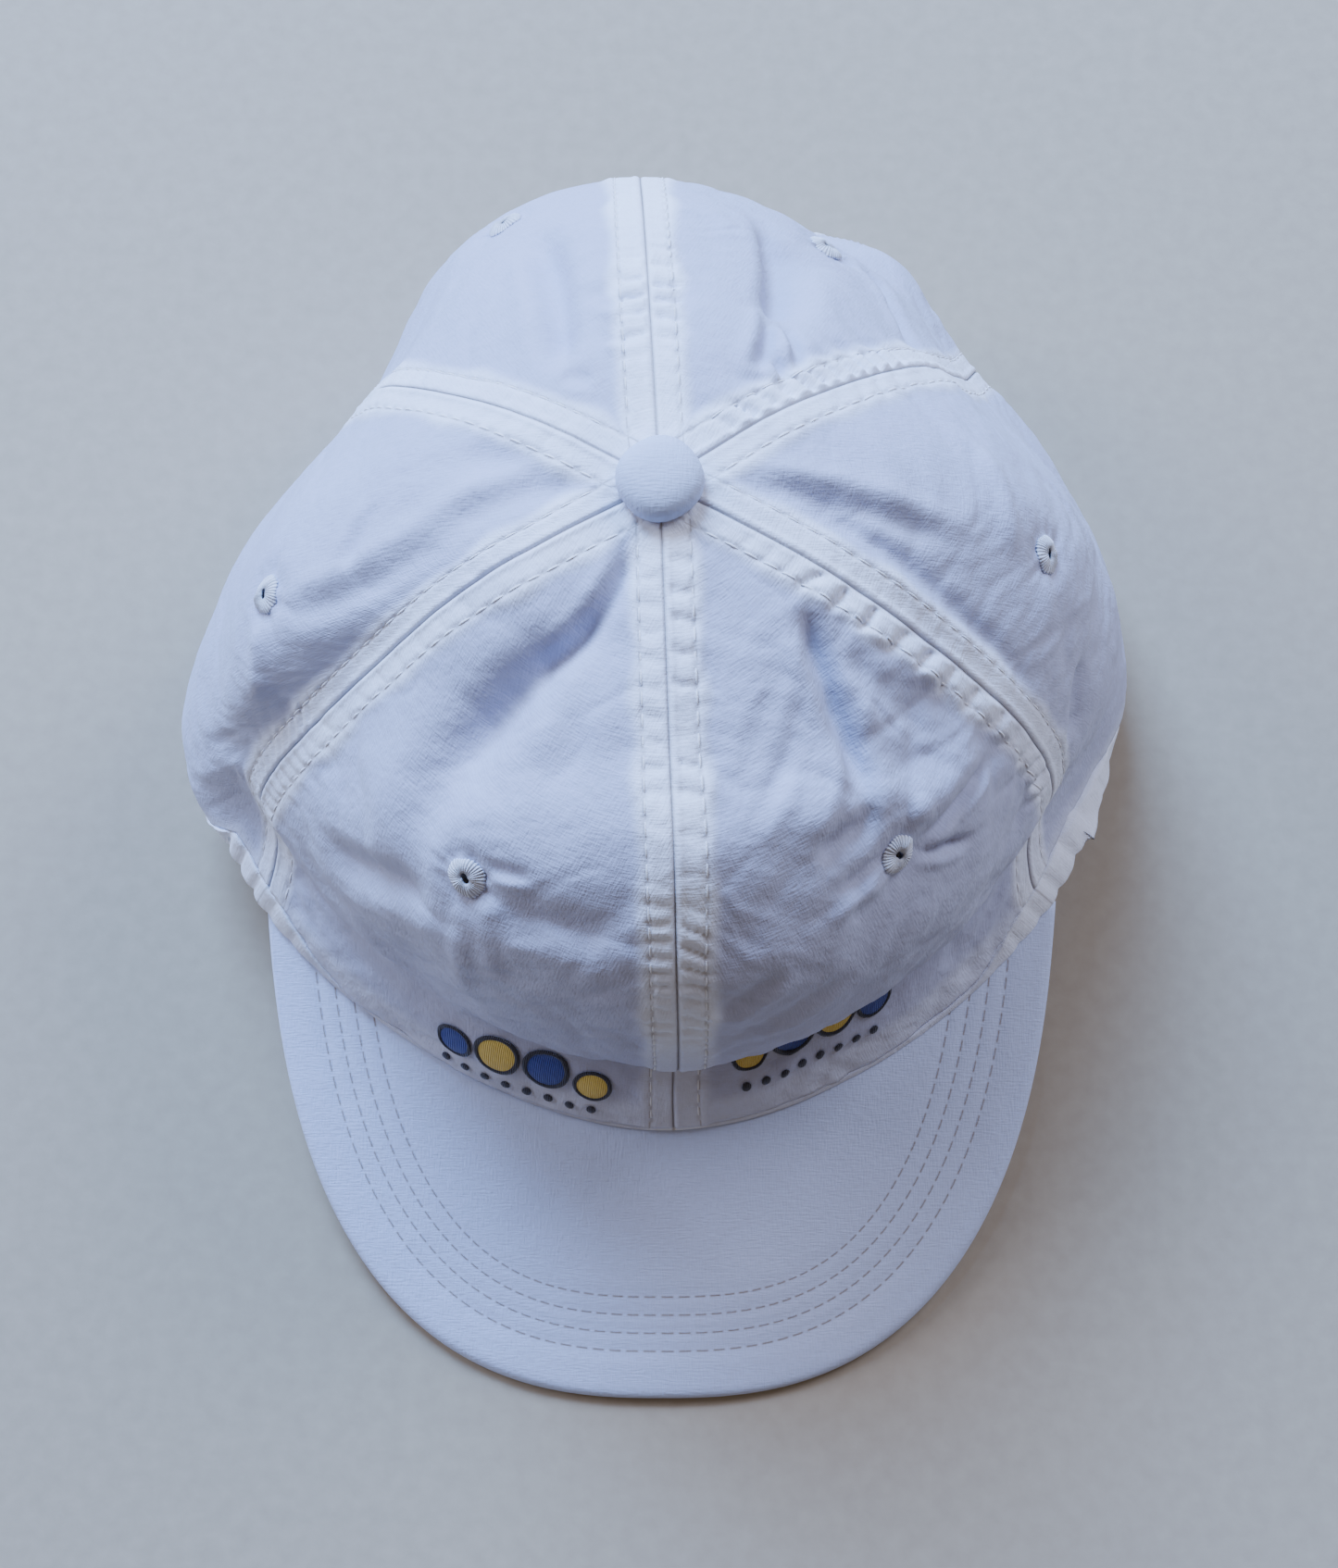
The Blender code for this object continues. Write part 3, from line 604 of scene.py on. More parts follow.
def cotton(name, single, double=None, crumple=1.0, holes=0.0, lines=None):
    """White plain-weave cotton, greyer where it is single. The needle holes are darkened with painted shade,
    and lines gives the share of painted shade at its seams and stitches.
    """
    look = Look(name, 0.92, sheen=0.12)
    chart = look.node("ShaderNodeUVMap", {"uv_map": "cloth"})
    ways = (
        look.node("ShaderNodeMapping", None, {"Vector": chart, "Scale": scale})
        for scale in ((1, 1 / THREAD_RUN, 1), (1 / THREAD_RUN, 1, 1))
    )
    warp, weft = (look.noise(1 / THREAD_PITCH, 1.0, way) for way in ways)
    slub, crease = look.noise(620.0, 3.0), look.noise(210.0, 3.0)
    ridges = look.noise(120.0, 2.5, None, {"noise_type": "RIDGED_MULTIFRACTAL"})
    tone = look.blend(look.marks("layers"), (*single, 1), (*double, 1)) if double else (*single, 1)
    tone = look.blend((slub - 0.35) * 0.16 + (warp + weft - 1.0) * 0.10, tone, COTTON_TONE_AND_SHADE)
    # Painted shade in the needle holes.
    if holes:
        tone = look.blend(look.marks("holes") * holes, tone, COTTON_TONE_AND_SHADE)
    if lines:
        tone = look.blend(lines(look), tone, COTTON_TONE_AND_SHADE)
    look.colour(tone)
    folded = slub * 0.8 + crease * 1.4 - ridges * 0.9
    look.bump((warp + weft) * 0.5 + folded * crumple, 0.0003, 0.7)
    return look.material


def line_at(look, gap, where, width):
    """1 on a line at some gap, falling to 0 at width either side of it."""
    return look.maths("MAXIMUM", 0.0, 1.0 - look.maths("ABSOLUTE", gap - where) * (1 / width))


def dashes(look, run, pitch, reach=0.95):
    """1 along each stitch and 0 where it goes into the cloth."""
    return look.clamp(reach - (run * (2 * pi / pitch)).cosine() * 1.6)


def crown_lines(look):
    """The seams' own shadow lines, and the thin shadows beside the stitches."""
    gaps = {"after": look.marks("from_left"), "before": look.marks("from_right")}
    seams = [line_at(look, gap, 0.0, SEAM_LINE) for gap in gaps.values()]
    rows = [line_at(look, gap, STITCH_OFFSET[side] + 0.27, 0.26) for side, gap in gaps.items()]
    stitches = look.maths("MAXIMUM", *rows) * dashes(look, look.marks("from_seat"), STITCH_PITCH)
    return look.maths("MAXIMUM", look.maths("MAXIMUM", *seams) * 0.6, stitches * 0.55)


# Half width in mm of the painted shadow line along each seam's groove.
SEAM_LINE = 0.5
# The crown's cotton, with painted shade in its needle holes and along its seams and stitches.
CROWN_COTTON = cotton(
    "white_cotton", (0.415, 0.445, 0.625), (0.74, 0.79, 0.93), holes=0.35, lines=crown_lines
)
# Where the slumped front turns down, in mm: how far from the seat at the front seam, how much farther for
# each place away from it, width and height.
SHOULDER = (60.0, 6.0, 12.5, 3.6)
SHOULDER_ENDS = (1.9, 0.9)
# Soft swells and crumples of the light cloth in mm: size, how much longer they are than wide, and depth.
SWELLS = ((26.0, 1.3, 1.1), (13.0, 1.7, 0.60), (6.5, 2.0, 0.38), (3.4, 2.2, 0.30), (1.9, 2.0, 0.15))
SWELL_LEANS = (0.7, 0.3, -0.5, 0.4, -0.4, -0.6)
# Creases that the cloth has kept from being crushed: size of the patches between in mm, stretch, depth in
# mm, and width as a share of the noise's own height.
CREASES = ((14.0, 1.8, 0.42, 0.14), (8.5, 2.2, 0.30, 0.18), (5.0, 1.8, 0.20, 0.22))
CREASE_SEEDS = 11
# Where a chart's middle lies in the noise, in mm, so that no part of it is at a negative place.
NOISE_MIDDLE = 400
# Swells, folds and creases fade out towards the seams, over these mm.
SEAM_CALM = (0.5, 9.0)
CRUMPLE = (1.2, 0.9, 0.8, 0.6, 0.5, 1.0)
PANEL_COLUMNS = 104
PANEL_ROWS = 236
SEAM_CROWDING = 0.62
SKINS = {}


def finish(piece, material, *modifiers):
    """Applies modifiers in turn, each given as its kind and settings, and gives the piece its material."""
    bpy.ops.object.select_all(action="DESELECT")
    bpy.context.view_layer.objects.active = piece
    piece.select_set(True)
    for kind, settings in modifiers:
        added = piece.modifiers.new(kind.lower(), kind)
        for name, value in settings.items():
            setattr(added, name, value)
        bpy.ops.object.modifier_apply(modifier=added.name)
    bpy.ops.object.shade_smooth()
    piece.data.materials.append(material)


def hem_height(place):
    """The hem is a band at the sides and back, and at the front it is turned under."""
    around = min(place % 12, 12 - place % 12)
    return HEM_FRONT + (HEM_HEIGHT - HEM_FRONT) * float(fade(around, *HEM_STARTS))


def cloth_end(place):
    """How far down from the seat the cloth runs at a place: to the hem, or to the arch's edge behind."""
    line, run = drawn_line(place)
    flat = np.hypot(line[:, 0] / (ARCH_WIDTH / 2), line[:, 2] / ARCH_HEIGHT)
    inside = np.flatnonzero((flat < 1) & (line[:, 1] > RIM_RADIUS / 2))
    whole = run[-1] - hem_height(place) - CLEARANCE
    if not len(inside):
        return whole
    i = inside[0]
    return min(whole, run[i - 1] + (run[i] - run[i - 1]) * (flat[i - 1] - 1) / (flat[i - 1] - flat[i]))


def rumple(k, x, y, down):
    """Height in mm that swells and kept creases give panel k at chart points, down shares of its run."""
    height = np.zeros_like(x)
    far_x, far_y = x + NOISE_MIDDLE, y + NOISE_MIDDLE
    for seed, (size, stretch, depth) in enumerate(SWELLS, 1):
        u, v = turned(x, y, SWELL_LEANS[k] * (1 if seed % 2 else -1))
        patches = 0.8 + 0.7 * ripple(far_x, far_y, 21.0, 10 * k + seed + 5)
        patches *= CRUMPLE[k] * fade(down, -0.2, 0.6) if size < 7 else 1.0
        swell = ripple(u / stretch + NOISE_MIDDLE, v, size, 10 * k + seed)
        height += depth * patches * swell * fade(down, 0.02, 0.2)
    for seed, (size, stretch, depth, width) in enumerate(CREASES, CREASE_SEEDS):
        u, v = turned(x, y, SWELL_LEANS[k] + (0.5 if seed % 2 else -0.3))
        patches = fade(ripple(far_x, far_y, 17.0, 10 * k + seed + 5), -0.35, 0.35) * CRUMPLE[k]
        crease = bell(ripple(u / stretch + NOISE_MIDDLE, v, size, 10 * k + seed), width)
        height -= depth * patches * crease * fade(down, 0.02, 0.3)
    return height


def crown_panel(k):
    """One panel: its bare slumped form, the chart measured over that, and the relief laid by the chart."""
    piece, t, down = grid("panel_" + PANELS[k], PANEL_COLUMNS, PANEL_ROWS)
    share = t[0] - SEAM_CROWDING * np.sin(2 * pi * t[0]) / (2 * pi)
    places = 2 * k + 2 * np.concatenate([[-share[1]], share, [1 + share[1]]])
    lengths = np.array([drawn_line(place)[1][-1] - HEM_HEIGHT - CLEARANCE for place in places])
    evenly = down[:, :1] * lengths[None, :]
    steps = np.linalg.norm(np.diff(bare_rows(places[1:-1], evenly[:, 1:-1]), axis=1), axis=2)
    left = 1000 * np.concatenate([np.zeros((len(steps), 1)), np.cumsum(steps, axis=1)], 1)
    distances = down[:, :1] * np.array([cloth_end(place) for place in places])[None, :]
    bare = bare_rows(places, distances)
    outward = unit(np.cross(np.gradient(bare, axis=1), np.gradient(bare, axis=0)))
    bare, outward, distances, lengths = bare[:, 1:-1], outward[:, 1:-1], distances[:, 1:-1], lengths[1:-1]
    down = distances / lengths
    evenly, even_x = evenly[::-1, 1:-1], (left - left[:, -1:] / 2)[::-1]
    width = left[::-1, -1]
    columns = range(len(lengths))
    left = np.stack([np.interp(distances[:, i], evenly[:, i], left[::-1, i]) for i in columns], 1)
    length = lengths.mean() * 1000
    whole = np.interp(down, np.linspace(0, 1, len(width)), width)

    def chart_place(across, down):
        """Chart points in mm at shares of the way from seam to seam, and from the seat to the hem."""
        across, down = np.atleast_1d(across), np.atleast_1d(down)
        rows = np.clip(down * (len(even_x) - 1), 0, len(even_x) - 1.001)
        low = rows.astype(int)
        near, far = (
            np.array([np.interp(a, share, even_x[j]) for a, j in zip(across, low + m)]) for m in (0, 1)
        )
        return np.stack([near + (far - near) * (rows - low), down * length], -1)

    right = whole - left
    x, y, distances = left - whole / 2, down * length, distances * 1000
    free = fade(np.minimum(left, right), *SEAM_CALM)
    around = np.minimum(places[1:-1], 12 - places[1:-1])
    start, drop, wide, high = SHOULDER
    height = high * bell(distances - start - drop * around, wide) * fade(around, *SHOULDER_ENDS)
    height += (fold_relief(k, x, y, chart_place) + rumple(k, x, y, down)) * free
    along, at_down = EYELETS[PANELS[k]]
    run = drawn_line(2 * (k + along))[1][-1] - HEM_HEIGHT - CLEARANCE
    middle = chart_place(along, at_down * EYELET_DISTANCE / run)[0]
    height += eyelet_relief(k, x - middle[0], y - middle[1]) * free
    near, layers, holes = seam_relief(k, "after", left, distances)
    far, more_layers, more_holes = seam_relief((k + 1) % 6, "before", right, distances)
    height += near * fade(right, 0.0, 2.0) + far * fade(left, 0.0, 2.0)
    layers = np.maximum(np.maximum(layers, more_layers), 0.35 * fade(down, 0.97, 1.0))
    if PANELS[k].startswith("back"):
        turned_in, turned_layers = arch_relief(bare)
        height += turned_in
        layers = np.maximum(layers, turned_layers)
    points = bare + outward * (height / 1000)[:, :, None]
    lay(piece, points, np.stack([x, y], -1) / 1000)
    # The needle holes' painted shade is kept for the material.
    mark(piece, layers=layers, holes=np.clip(np.maximum(holes, more_holes), 0, 1))
    mark(piece, from_left=left, from_right=right, from_seat=distances)
    gap = np.hypot(x - middle[0], y - middle[1])
    at_eyelet = np.unravel_index(gap.argmin(), gap.shape)
    SKINS[k] = {
        "points": points, "outward": outward, "eyelet": (points[at_eyelet], outward[at_eyelet]),
        "left": left, "right": right, "run": distances / 1000,
        "y": y[:, 0], "whole": whole[:, 0], "chart_place": chart_place,
    }
    open_eyelet(piece, points[at_eyelet])
    finish(piece, CROWN_COTTON, ("SOLIDIFY", {"thickness": CLOTH, "offset": -1.0}))
    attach(piece, "root")
    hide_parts("crown_" + PANELS[k])


def open_eyelet(piece, centre):
    """Takes out the cloth behind the thread ring."""
    centre, reach = Vector(centre + SHIFT), EYELET_HOLE * 0.85
    with reshaping(piece) as shape:
        hidden = [face for face in shape.faces if (face.calc_center_median() - centre).length < reach]
        bmesh.ops.delete(shape, geom=hidden, context="FACES")


for k in range(len(PANELS)):
    crown_panel(k)


# Topstitching
# White thread, about 7 stitches in 26 mm, run down both sides of every seam. Each stitch is a short bow of
# thread that goes down into the cloth at both ends.

STITCH_LENGTH = 0.0029
STITCH_WIDTH = 0.00044
STITCH_BOW = 0.45


def thread(name, light, dark):
    """Matt cotton thread, a little uneven in tone."""
    look = Look(name, 0.75, sheen=0.1)
    twist = look.noise(5200.0, 1.0)
    look.colour(look.blend(twist, (*light, 1), (*dark, 1)))
    look.bump(twist, 0.0001)
    return look.material


WHITE_THREAD = thread("white_thread", (0.84, 0.86, 0.92), (0.62, 0.65, 0.74))


def stitch_form():
    """One stitch along X, as (points, faces): a grain with its ends turned down."""
    grain = primitive(bpy.ops.mesh.primitive_uv_sphere_add, "grain", segments=7, ring_count=6, radius=0.5)
    grain.data.transform(Matrix.Rotation(pi / 2, 4, "Y"))
    grain.data.transform(Matrix.Diagonal((STITCH_LENGTH, STITCH_WIDTH, STITCH_WIDTH, 1)))
    points = corners(grain)
    points[:, 2] -= STITCH_BOW * STITCH_WIDTH * (2 * points[:, 0] / STITCH_LENGTH) ** 2
    faces = [tuple(face.vertices) for face in grain.data.polygons]
    bpy.data.objects.remove(grain)
    return points, faces


GRAIN = stitch_form()


def sew(name, line, outs, material, run=None, pitch=STITCH_PITCH / 1000, lengthen=1.0, widen=1.0, sink=0.0):
    """Stitches along a line, on the side that outs point to. Run is how far along each point is."""
    if run is None:
        run = run_along(line)
    middles = (np.arange(np.ceil(run[0] / pitch), np.floor(run[-1] / pitch)) + 0.5) * pitch

    def at(values, where):
        return np.stack([np.interp(where, run, values[:, axis]) for axis in range(3)], -1)

    along = unit(at(line, middles + pitch / 4) - at(line, middles - pitch / 4))
    side = unit(np.cross(unit(at(outs, middles)), along))
    out = np.cross(along, side)
    points, faces = GRAIN
    placed = (at(line, middles) - out * sink)[:, None]
    for axis, way, scale in ((0, along, lengthen), (1, side, widen), (2, out, widen)):
        placed = placed + scale * points[None, :, axis, None] * way[:, None]
    copies = [[n * len(points) + i for i in face] for n in range(len(middles)) for face in faces]
    mesh = bpy.data.meshes.new(name)
    mesh.from_pydata((placed.reshape(-1, 3) + SHIFT).tolist(), [], copies)
    mesh.materials.append(material)
    mesh.shade_smooth()
    row = bpy.data.objects.new(name, mesh)
    bpy.context.scene.collection.objects.link(row)
    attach(row, "root")


def seam_row(k, edge, offset):
    """A line down panel k beside one of its seams, the outward directions along it and its runs."""
    skin = SKINS[k]
    turn = slice(None) if edge == "left" else slice(None, None, -1)
    gap = skin[edge][:, turn]
    rows = [j for j in reversed(range(len(gap))) if gap[j].max() > 2 * offset + 1]

    def beside(values):
        return np.array([np.interp(offset, gap[j], values[j, turn]) for j in rows])

    line, ways = (
        np.stack([beside(skin[name][:, :, axis]) for axis in range(3)], -1) for name in ("points", "outward")
    )
    return line, ways, beside(skin["run"])


def out_of_arch(line, outs, run):
    """The part of a row that isn't over the arch's turned edge."""
    clear = ARCH_HEM / 1000
    flat = np.hypot(line[:, 0] / (ARCH_WIDTH / 2 + clear), line[:, 2] / (ARCH_HEIGHT + clear))
    keep = (flat > 1) | (line[:, 1] < RIM_RADIUS / 2)
    return line[keep], outs[keep], run[keep]


for k, panel in enumerate(PANELS):
    for edge, side in (("left", "after"), ("right", "before")):
        line, outs, run = out_of_arch(*seam_row(k, edge, STITCH_OFFSET[side]))
        sew(f"stitches_{panel}_{edge}", line, outs, WHITE_THREAD, run)


# Rim hem
# The panels' bottom edge, folded in twice: a narrow band of several layers that runs round the rim and
# stops at the back arch. Where a seam comes down to it, it is thicker.

HEM_GAP = CLEARANCE - 0.00006
HEM_THICKNESS = 0.0024
HEM_PROUD = 0.0004
HEM_SQUARENESS = 0.40
HEM_SEAM_LUMP = 0.00040
# Puckers along the hem: pitch in mm, depth, and how much deeper they are beside the peak's corners.
HEM_PUCKERS = (7.5, 0.0002, 0.0010)
# Swells of the hem: size in mm, depth and seed.
HEM_SWELLS = ((9.0, 0.00028, 7), (3.6, 0.00020, 8))
HEM_CHART_WIDTH = 0.018
HEM_CORNER = (2.1, 0.45)
HEM_COLUMNS = 520
HEM_ROUND = 22
PLACE_STEP = 0.02
RUN_STEP = 0.002


def level(vector):
    """The level part of a direction."""
    return np.array([vector[0], vector[1], 0.0]) / hypot(vector[0], vector[1])


def outward_at(place, distance):
    """Outward direction of the bare crown at a place and a distance from the seat."""
    left, right = bare_rows([place - PLACE_STEP, place + PLACE_STEP], np.full((1, 2), distance))[0]
    below, above = bare_rows([place, place], np.array([[distance, distance - RUN_STEP]]))[0]
    return unit(np.cross(right - left, above - below))


def hem_places():
    """Places of the hem's columns, from one edge of the arch round by the front to the other."""
    behind = np.linspace(3.5, 6.0, 251)
    left, right = (
        np.interp(-ARCH_WIDTH / 2, [-abs(rim_point(way * place)[0]) for place in behind], behind)
        for way in (-1, 1)
    )
    return np.linspace(-left, right, HEM_COLUMNS + 1)


def hem_lines(look):
    """The painted shadow lines of the crown's seams, which run on across the hem."""
    return line_at(look, look.marks("from_seam"), 0.0, SEAM_LINE) * 0.6


HEM_COTTON = cotton("white_cotton_hem", (0.45, 0.475, 0.62), (0.74, 0.79, 0.93), lines=hem_lines)


def hem_lump(place, around):
    """How much thicker the hem is at a place, for shares round its section, and its share of layers."""
    seam_gap = abs((place + 1) % 2 - 1) * PLACE_LENGTH
    loose = fade(abs(place), *HEM_STARTS)
    pitch, depth, deeper = HEM_PUCKERS
    pucker = abs(sin(pi * place * PLACE_LENGTH / pitch)) ** 0.6 - 0.6
    lump = HEM_SEAM_LUMP * loose * fade(seam_gap, 7.5, 4.5)
    corner, spread = HEM_CORNER
    lump += loose * (depth + deeper * bell(abs(place) - corner, spread)) * pucker
    for size, depth, seed in HEM_SWELLS:
        lump += depth * (0.3 + 0.7 * loose) * ripple(np.array(place * 50), 9.0 * around + 60, size, seed)
    return lump, 0.35 + 0.65 * max(fade(seam_gap, 8.0, 5.0), loose)


def rim_hem():
    piece, t, around = grid("hem", HEM_COLUMNS, HEM_ROUND)
    around = around[:, 0]
    rise, bulge = (boxy(wave(2 * pi * around), HEM_SQUARENESS) / 2 for wave in (np.cos, np.sin))
    shares = (0.5 - rise)[:, None]
    places = hem_places()
    points = np.empty((*t.shape, 3))
    layers, from_seam = np.empty((2, *t.shape))
    for i, place in enumerate(places):
        run, height = drawn_line(place)[1][-1], hem_height(place)
        upper, lower = bare_rows([place, place], np.array([[run - height - HEM_GAP, run]]))[0]
        out_top, out_low = outward_at(place, run - height), level(outward_at(place, run))
        lump, layers[:, i] = hem_lump(place, around)
        from_seam[:, i] = sin(pi * place / 2) * PLACE_LENGTH * 2 / pi
        proud = HEM_PROUD * (0.2 + 0.8 * fade(abs(place), *HEM_STARTS))
        depth = (HEM_THICKNESS + lump) * bulge - HEM_THICKNESS / 2 + proud + lump / 2
        out = out_top * (1 - shares) + out_low * shares
        points[:, i] = upper * (1 - shares) + lower * shares + out * depth[:, None]
        share = min(1.0, max(0.0, section("lift", place)))
        seat = share * (peak_top(points[:, i, 0], points[:, i, 1]) + CLEARANCE)
        points[:, i, 2] = np.maximum(points[:, i, 2], seat)
        if i in (0, HEM_COLUMNS):
            way = rim_point(place + PLACE_STEP) - rim_point(place - PLACE_STEP)
            edge = ARCH_WIDTH / 2 * np.sqrt(1 - (points[:, i, 2] / ARCH_HEIGHT) ** 2)
            points[:, i] += ((np.sign(place) * edge - points[:, i, 0]) / way[0])[:, None] * way
    along, round_it = np.meshgrid(places * PLACE_LENGTH / 1000, around * HEM_CHART_WIDTH)
    lay(piece, points, np.stack([along, round_it], -1))
    mark(piece, layers=layers, from_seam=from_seam)
    close(piece)
    finish(piece, HEM_COTTON)
    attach(piece, "root")
    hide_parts("rim_hem")


rim_hem()


# Peak
# A board covered with the same cotton, its outer edge turned round it, quilted through with four stitch rows
# that follow the edge. Its inner edge is sewn in under the front of the rim.

PEAK_END_PLACE = 1.96
PEAK_TURN_UNDER = 0.0040
PEAK_COLUMNS = 288
PEAK_ROWS = 52
PEAK_EDGE_ROWS = 6
UNDER_CHART = 0.3
PEAK_STITCH_PITCH = 0.00385
PEAK_STITCH_FORM = {"lengthen": 1.15, "widen": 0.7, "sink": 0.00008}
PEAK_STITCH_ROWS = (0.0098, 0.0135, 0.0172, 0.0209)
BOUND_EDGE = 0.00022
QUILT_DEPTH = 0.00018


def peak_lines(look):
    """The thin shadows beside the peak's stitches."""
    gap, run = look.marks("edge_gap"), look.marks("edge_run")
    total = sum(line_at(look, gap, 1000 * row - 0.18, 0.32) for row in PEAK_STITCH_ROWS)
    return total * dashes(look, run, 1000 * PEAK_STITCH_PITCH, 1.4)


PEAK_COTTON = cotton("white_cotton_peak", (0.50, 0.58, 0.84), crumple=0.35, lines=peak_lines)
# The peak's white thread is tinted darker than its cloth: painted shade of the quilting grooves it lies in.
PEAK_THREAD_SHADED = thread("peak_thread_shaded", (0.42, 0.48, 0.70), (0.32, 0.37, 0.54))
PEAK_EDGE = peak_outline(np.linspace(-90, 90, 721))
PEAK_EDGE_RUN = run_along(PEAK_EDGE)


def edge_gap(x, y):
    """Distance in plan from the peak's outer edge, and the run along the edge to the nearest point of it."""
    gap, _, along = nearest_on(PEAK_EDGE, x, y)
    return gap, np.interp(along, np.arange(len(PEAK_EDGE)), PEAK_EDGE_RUN)


def peak_relief(gap, x, y):
    """Height of the bound edge, the quilting and the cloth's own swells."""
    height = BOUND_EDGE * fade(gap, 0.0, 0.0025) * fade(gap, 0.0095, 0.006)
    for row in PEAK_STITCH_ROWS:
        height -= QUILT_DEPTH * bell(gap - row, 0.0009)
    return height + 0.0003 * ripple(x + 1, y + 1, 0.030, 5) + 0.00007 * ripple(x + 1, y + 1, 0.008, 6)


def close_peak(piece, rows):
    """Joins the peak's upper and under sides along the rim and at both corners."""
    with reshaping(piece) as shape:
        shape.verts.ensure_lookup_table()

        def face(*spots):
            shape.faces.new([shape.verts[j * (PEAK_COLUMNS + 1) + i] for j, i in spots])

        for i in range(PEAK_COLUMNS):
            face((0, i), (0, i + 1), (rows, i + 1), (rows, i))
        for i in (0, PEAK_COLUMNS):
            for j in range(rows // 2 - 1):
                face((j, i), (j + 1, i), (rows - j - 1, i), (rows - j, i))
            face((rows // 2 - 1, i), (rows // 2, i), (rows // 2 + 1, i))
        bmesh.ops.recalc_face_normals(shape, faces=shape.faces)


def peak_piece():
    rows = 2 * (PEAK_ROWS + PEAK_EDGE_ROWS)
    piece, t, _ = grid("peak_cloth", PEAK_COLUMNS, rows)
    inner = np.array([rim_point(PEAK_END_PLACE * (2 * share - 1)) for share in t[0]])[:, :2]
    inner -= unit(inner) * PEAK_TURN_UNDER
    outward = peak_outline(180 * t[0] - 90) - inner
    half = PEAK_THICKNESS / 2
    rounded = half / np.linalg.norm(outward, axis=1)
    points = np.empty((*t.shape, 3))
    side = np.where(np.arange(rows + 1) <= rows // 2, 1.0, -1.0)
    for j, way in enumerate(side):
        step = min(j, rows - j)
        lean = max(0, step - PEAK_ROWS) / PEAK_EDGE_ROWS * pi / 2
        share = min(step, PEAK_ROWS) / PEAK_ROWS * (1 - rounded) + rounded * sin(lean)
        points[j, :, :2] = inner + outward * share[:, None]
        points[j, :, 2] = peak_top(points[j, :, 0], points[j, :, 1]) - half + half * way * cos(lean)
    x, y = points[:, :, 0], points[:, :, 1]
    gap, edge_run = edge_gap(x, y)
    points[:, :, 2] += peak_relief(gap, x, y) * side[:, None] * fade(gap, 0.0, 0.002)
    lay(piece, points, points[:, :, :2] + np.array([0.0, UNDER_CHART]) * (side < 0)[:, None, None])
    mark(piece, edge_gap=1000 * gap, edge_run=1000 * edge_run)
    close_peak(piece, rows)
    finish(piece, PEAK_COTTON)
    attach(piece, "root")
    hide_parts("peak")


peak_piece()

RIM_LINE = np.array([rim_point(place) for place in np.linspace(-3, 3, 241)])
RIM_TURNS = np.arctan2(RIM_LINE[:, 0], -RIM_LINE[:, 1])
RIM_REACHES = np.hypot(RIM_LINE[:, 0], RIM_LINE[:, 1])


def peak_row(inset, side):
    """A stitch row at a distance inside the peak's edge, clipped where it meets the rim."""
    way = np.gradient(PEAK_EDGE, axis=0)
    x, y = (PEAK_EDGE + unit(np.stack([-way[:, 1], way[:, 0]], -1)) * inset).T
    gap, run = edge_gap(x, y)
    rim = np.interp(np.arctan2(x, -y), RIM_TURNS, RIM_REACHES)
    keep = (np.hypot(x, y) > rim - 0.001) & (gap > inset - 0.0004) & (y < 0)
    under = 0.0 if side > 0 else PEAK_THICKNESS
    z = peak_top(x, y) - under + side * peak_relief(gap, x, y)
    line = np.stack([x, y, z], -1)[keep]
    return line, np.tile([0.0, 0.0, float(side)], (len(line), 1)), run[keep]


for row, inset in enumerate(PEAK_STITCH_ROWS):
    for side, words in ((1, "top"), (-1, "under")):
        line, outs, run = peak_row(inset, side)
        name = f"stitches_peak_{words}_{row}"
        sew(name, line, outs, PEAK_THREAD_SHADED, run, PEAK_STITCH_PITCH, **PEAK_STITCH_FORM)


# Front embroidery
# A plain ornament in satin stitch low on the two front panels: ovals in blue and gold, edged in dark thread,
# over a row of dark dots. The thread stands half a millimetre proud of the cloth.

MOTIF_LIFT = 0.35
SATIN_PITCH = 0.00042
MOTIF_COLUMNS = ("panel", "x", "y", "half_width", "half_height", "colour")
MOTIFS = (
    (5, 0.535, 0.935, 3.6, 3.2, "blue"),
    (5, 0.630, 0.925, 4.4, 4.2, "gold"),
    (5, 0.735, 0.925, 4.4, 4.2, "blue"),
    (5, 0.835, 0.935, 3.6, 3.2, "gold"),
    (0, 0.170, 0.925, 3.6, 3.2, "gold"),
    (0, 0.270, 0.918, 4.4, 4.2, "blue"),
    (0, 0.375, 0.915, 4.4, 4.2, "gold"),
    (0, 0.475, 0.925, 3.6, 3.2, "blue"),
)


def on_skin(k, x, y):
    """Points of panel k's finished cloth at chart points in mm, and the outward directions there."""
    skin = SKINS[k]
    last = len(skin["y"]) - 1
    rows = np.interp(y, skin["y"][::-1], np.arange(last + 1)[::-1])
    found = np.empty((2, *x.shape, 3))

    def on_row(values, j, spot):
        from_left = spot + skin["whole"][j] / 2
        return np.array([np.interp(from_left, skin["left"][j], values[j, :, axis]) for axis in range(3)])

    for spot in np.ndindex(x.shape):
        j = int(min(rows[spot], last - 1))
        part = rows[spot] - j
        for n, name in enumerate(("points", "outward")):
            near, far = (on_row(skin[name], j + m, x[spot]) for m in (0, 1))
            found[n][spot] = near * (1 - part) + far * part
    return found


def satin(name, colour, dark):
    """Glossy embroidery thread, its strands laid side by side across the shape."""
    look = Look(name, 0.42, sheen=0.2)
    chart = look.node("ShaderNodeUVMap", {"uv_map": "cloth"})
    strands = (look.node("ShaderNodeSeparateXYZ", None, {0: chart}, "X") * (2 * pi / SATIN_PITCH)).sine()
    wear = look.noise(900.0, 2.0)
    look.colour(look.blend(strands * 0.25 + wear * 0.5, (*colour, 1), (*dark, 1)))
    look.bump(strands + wear * 0.6, 0.00012, 0.8)
    return look.material


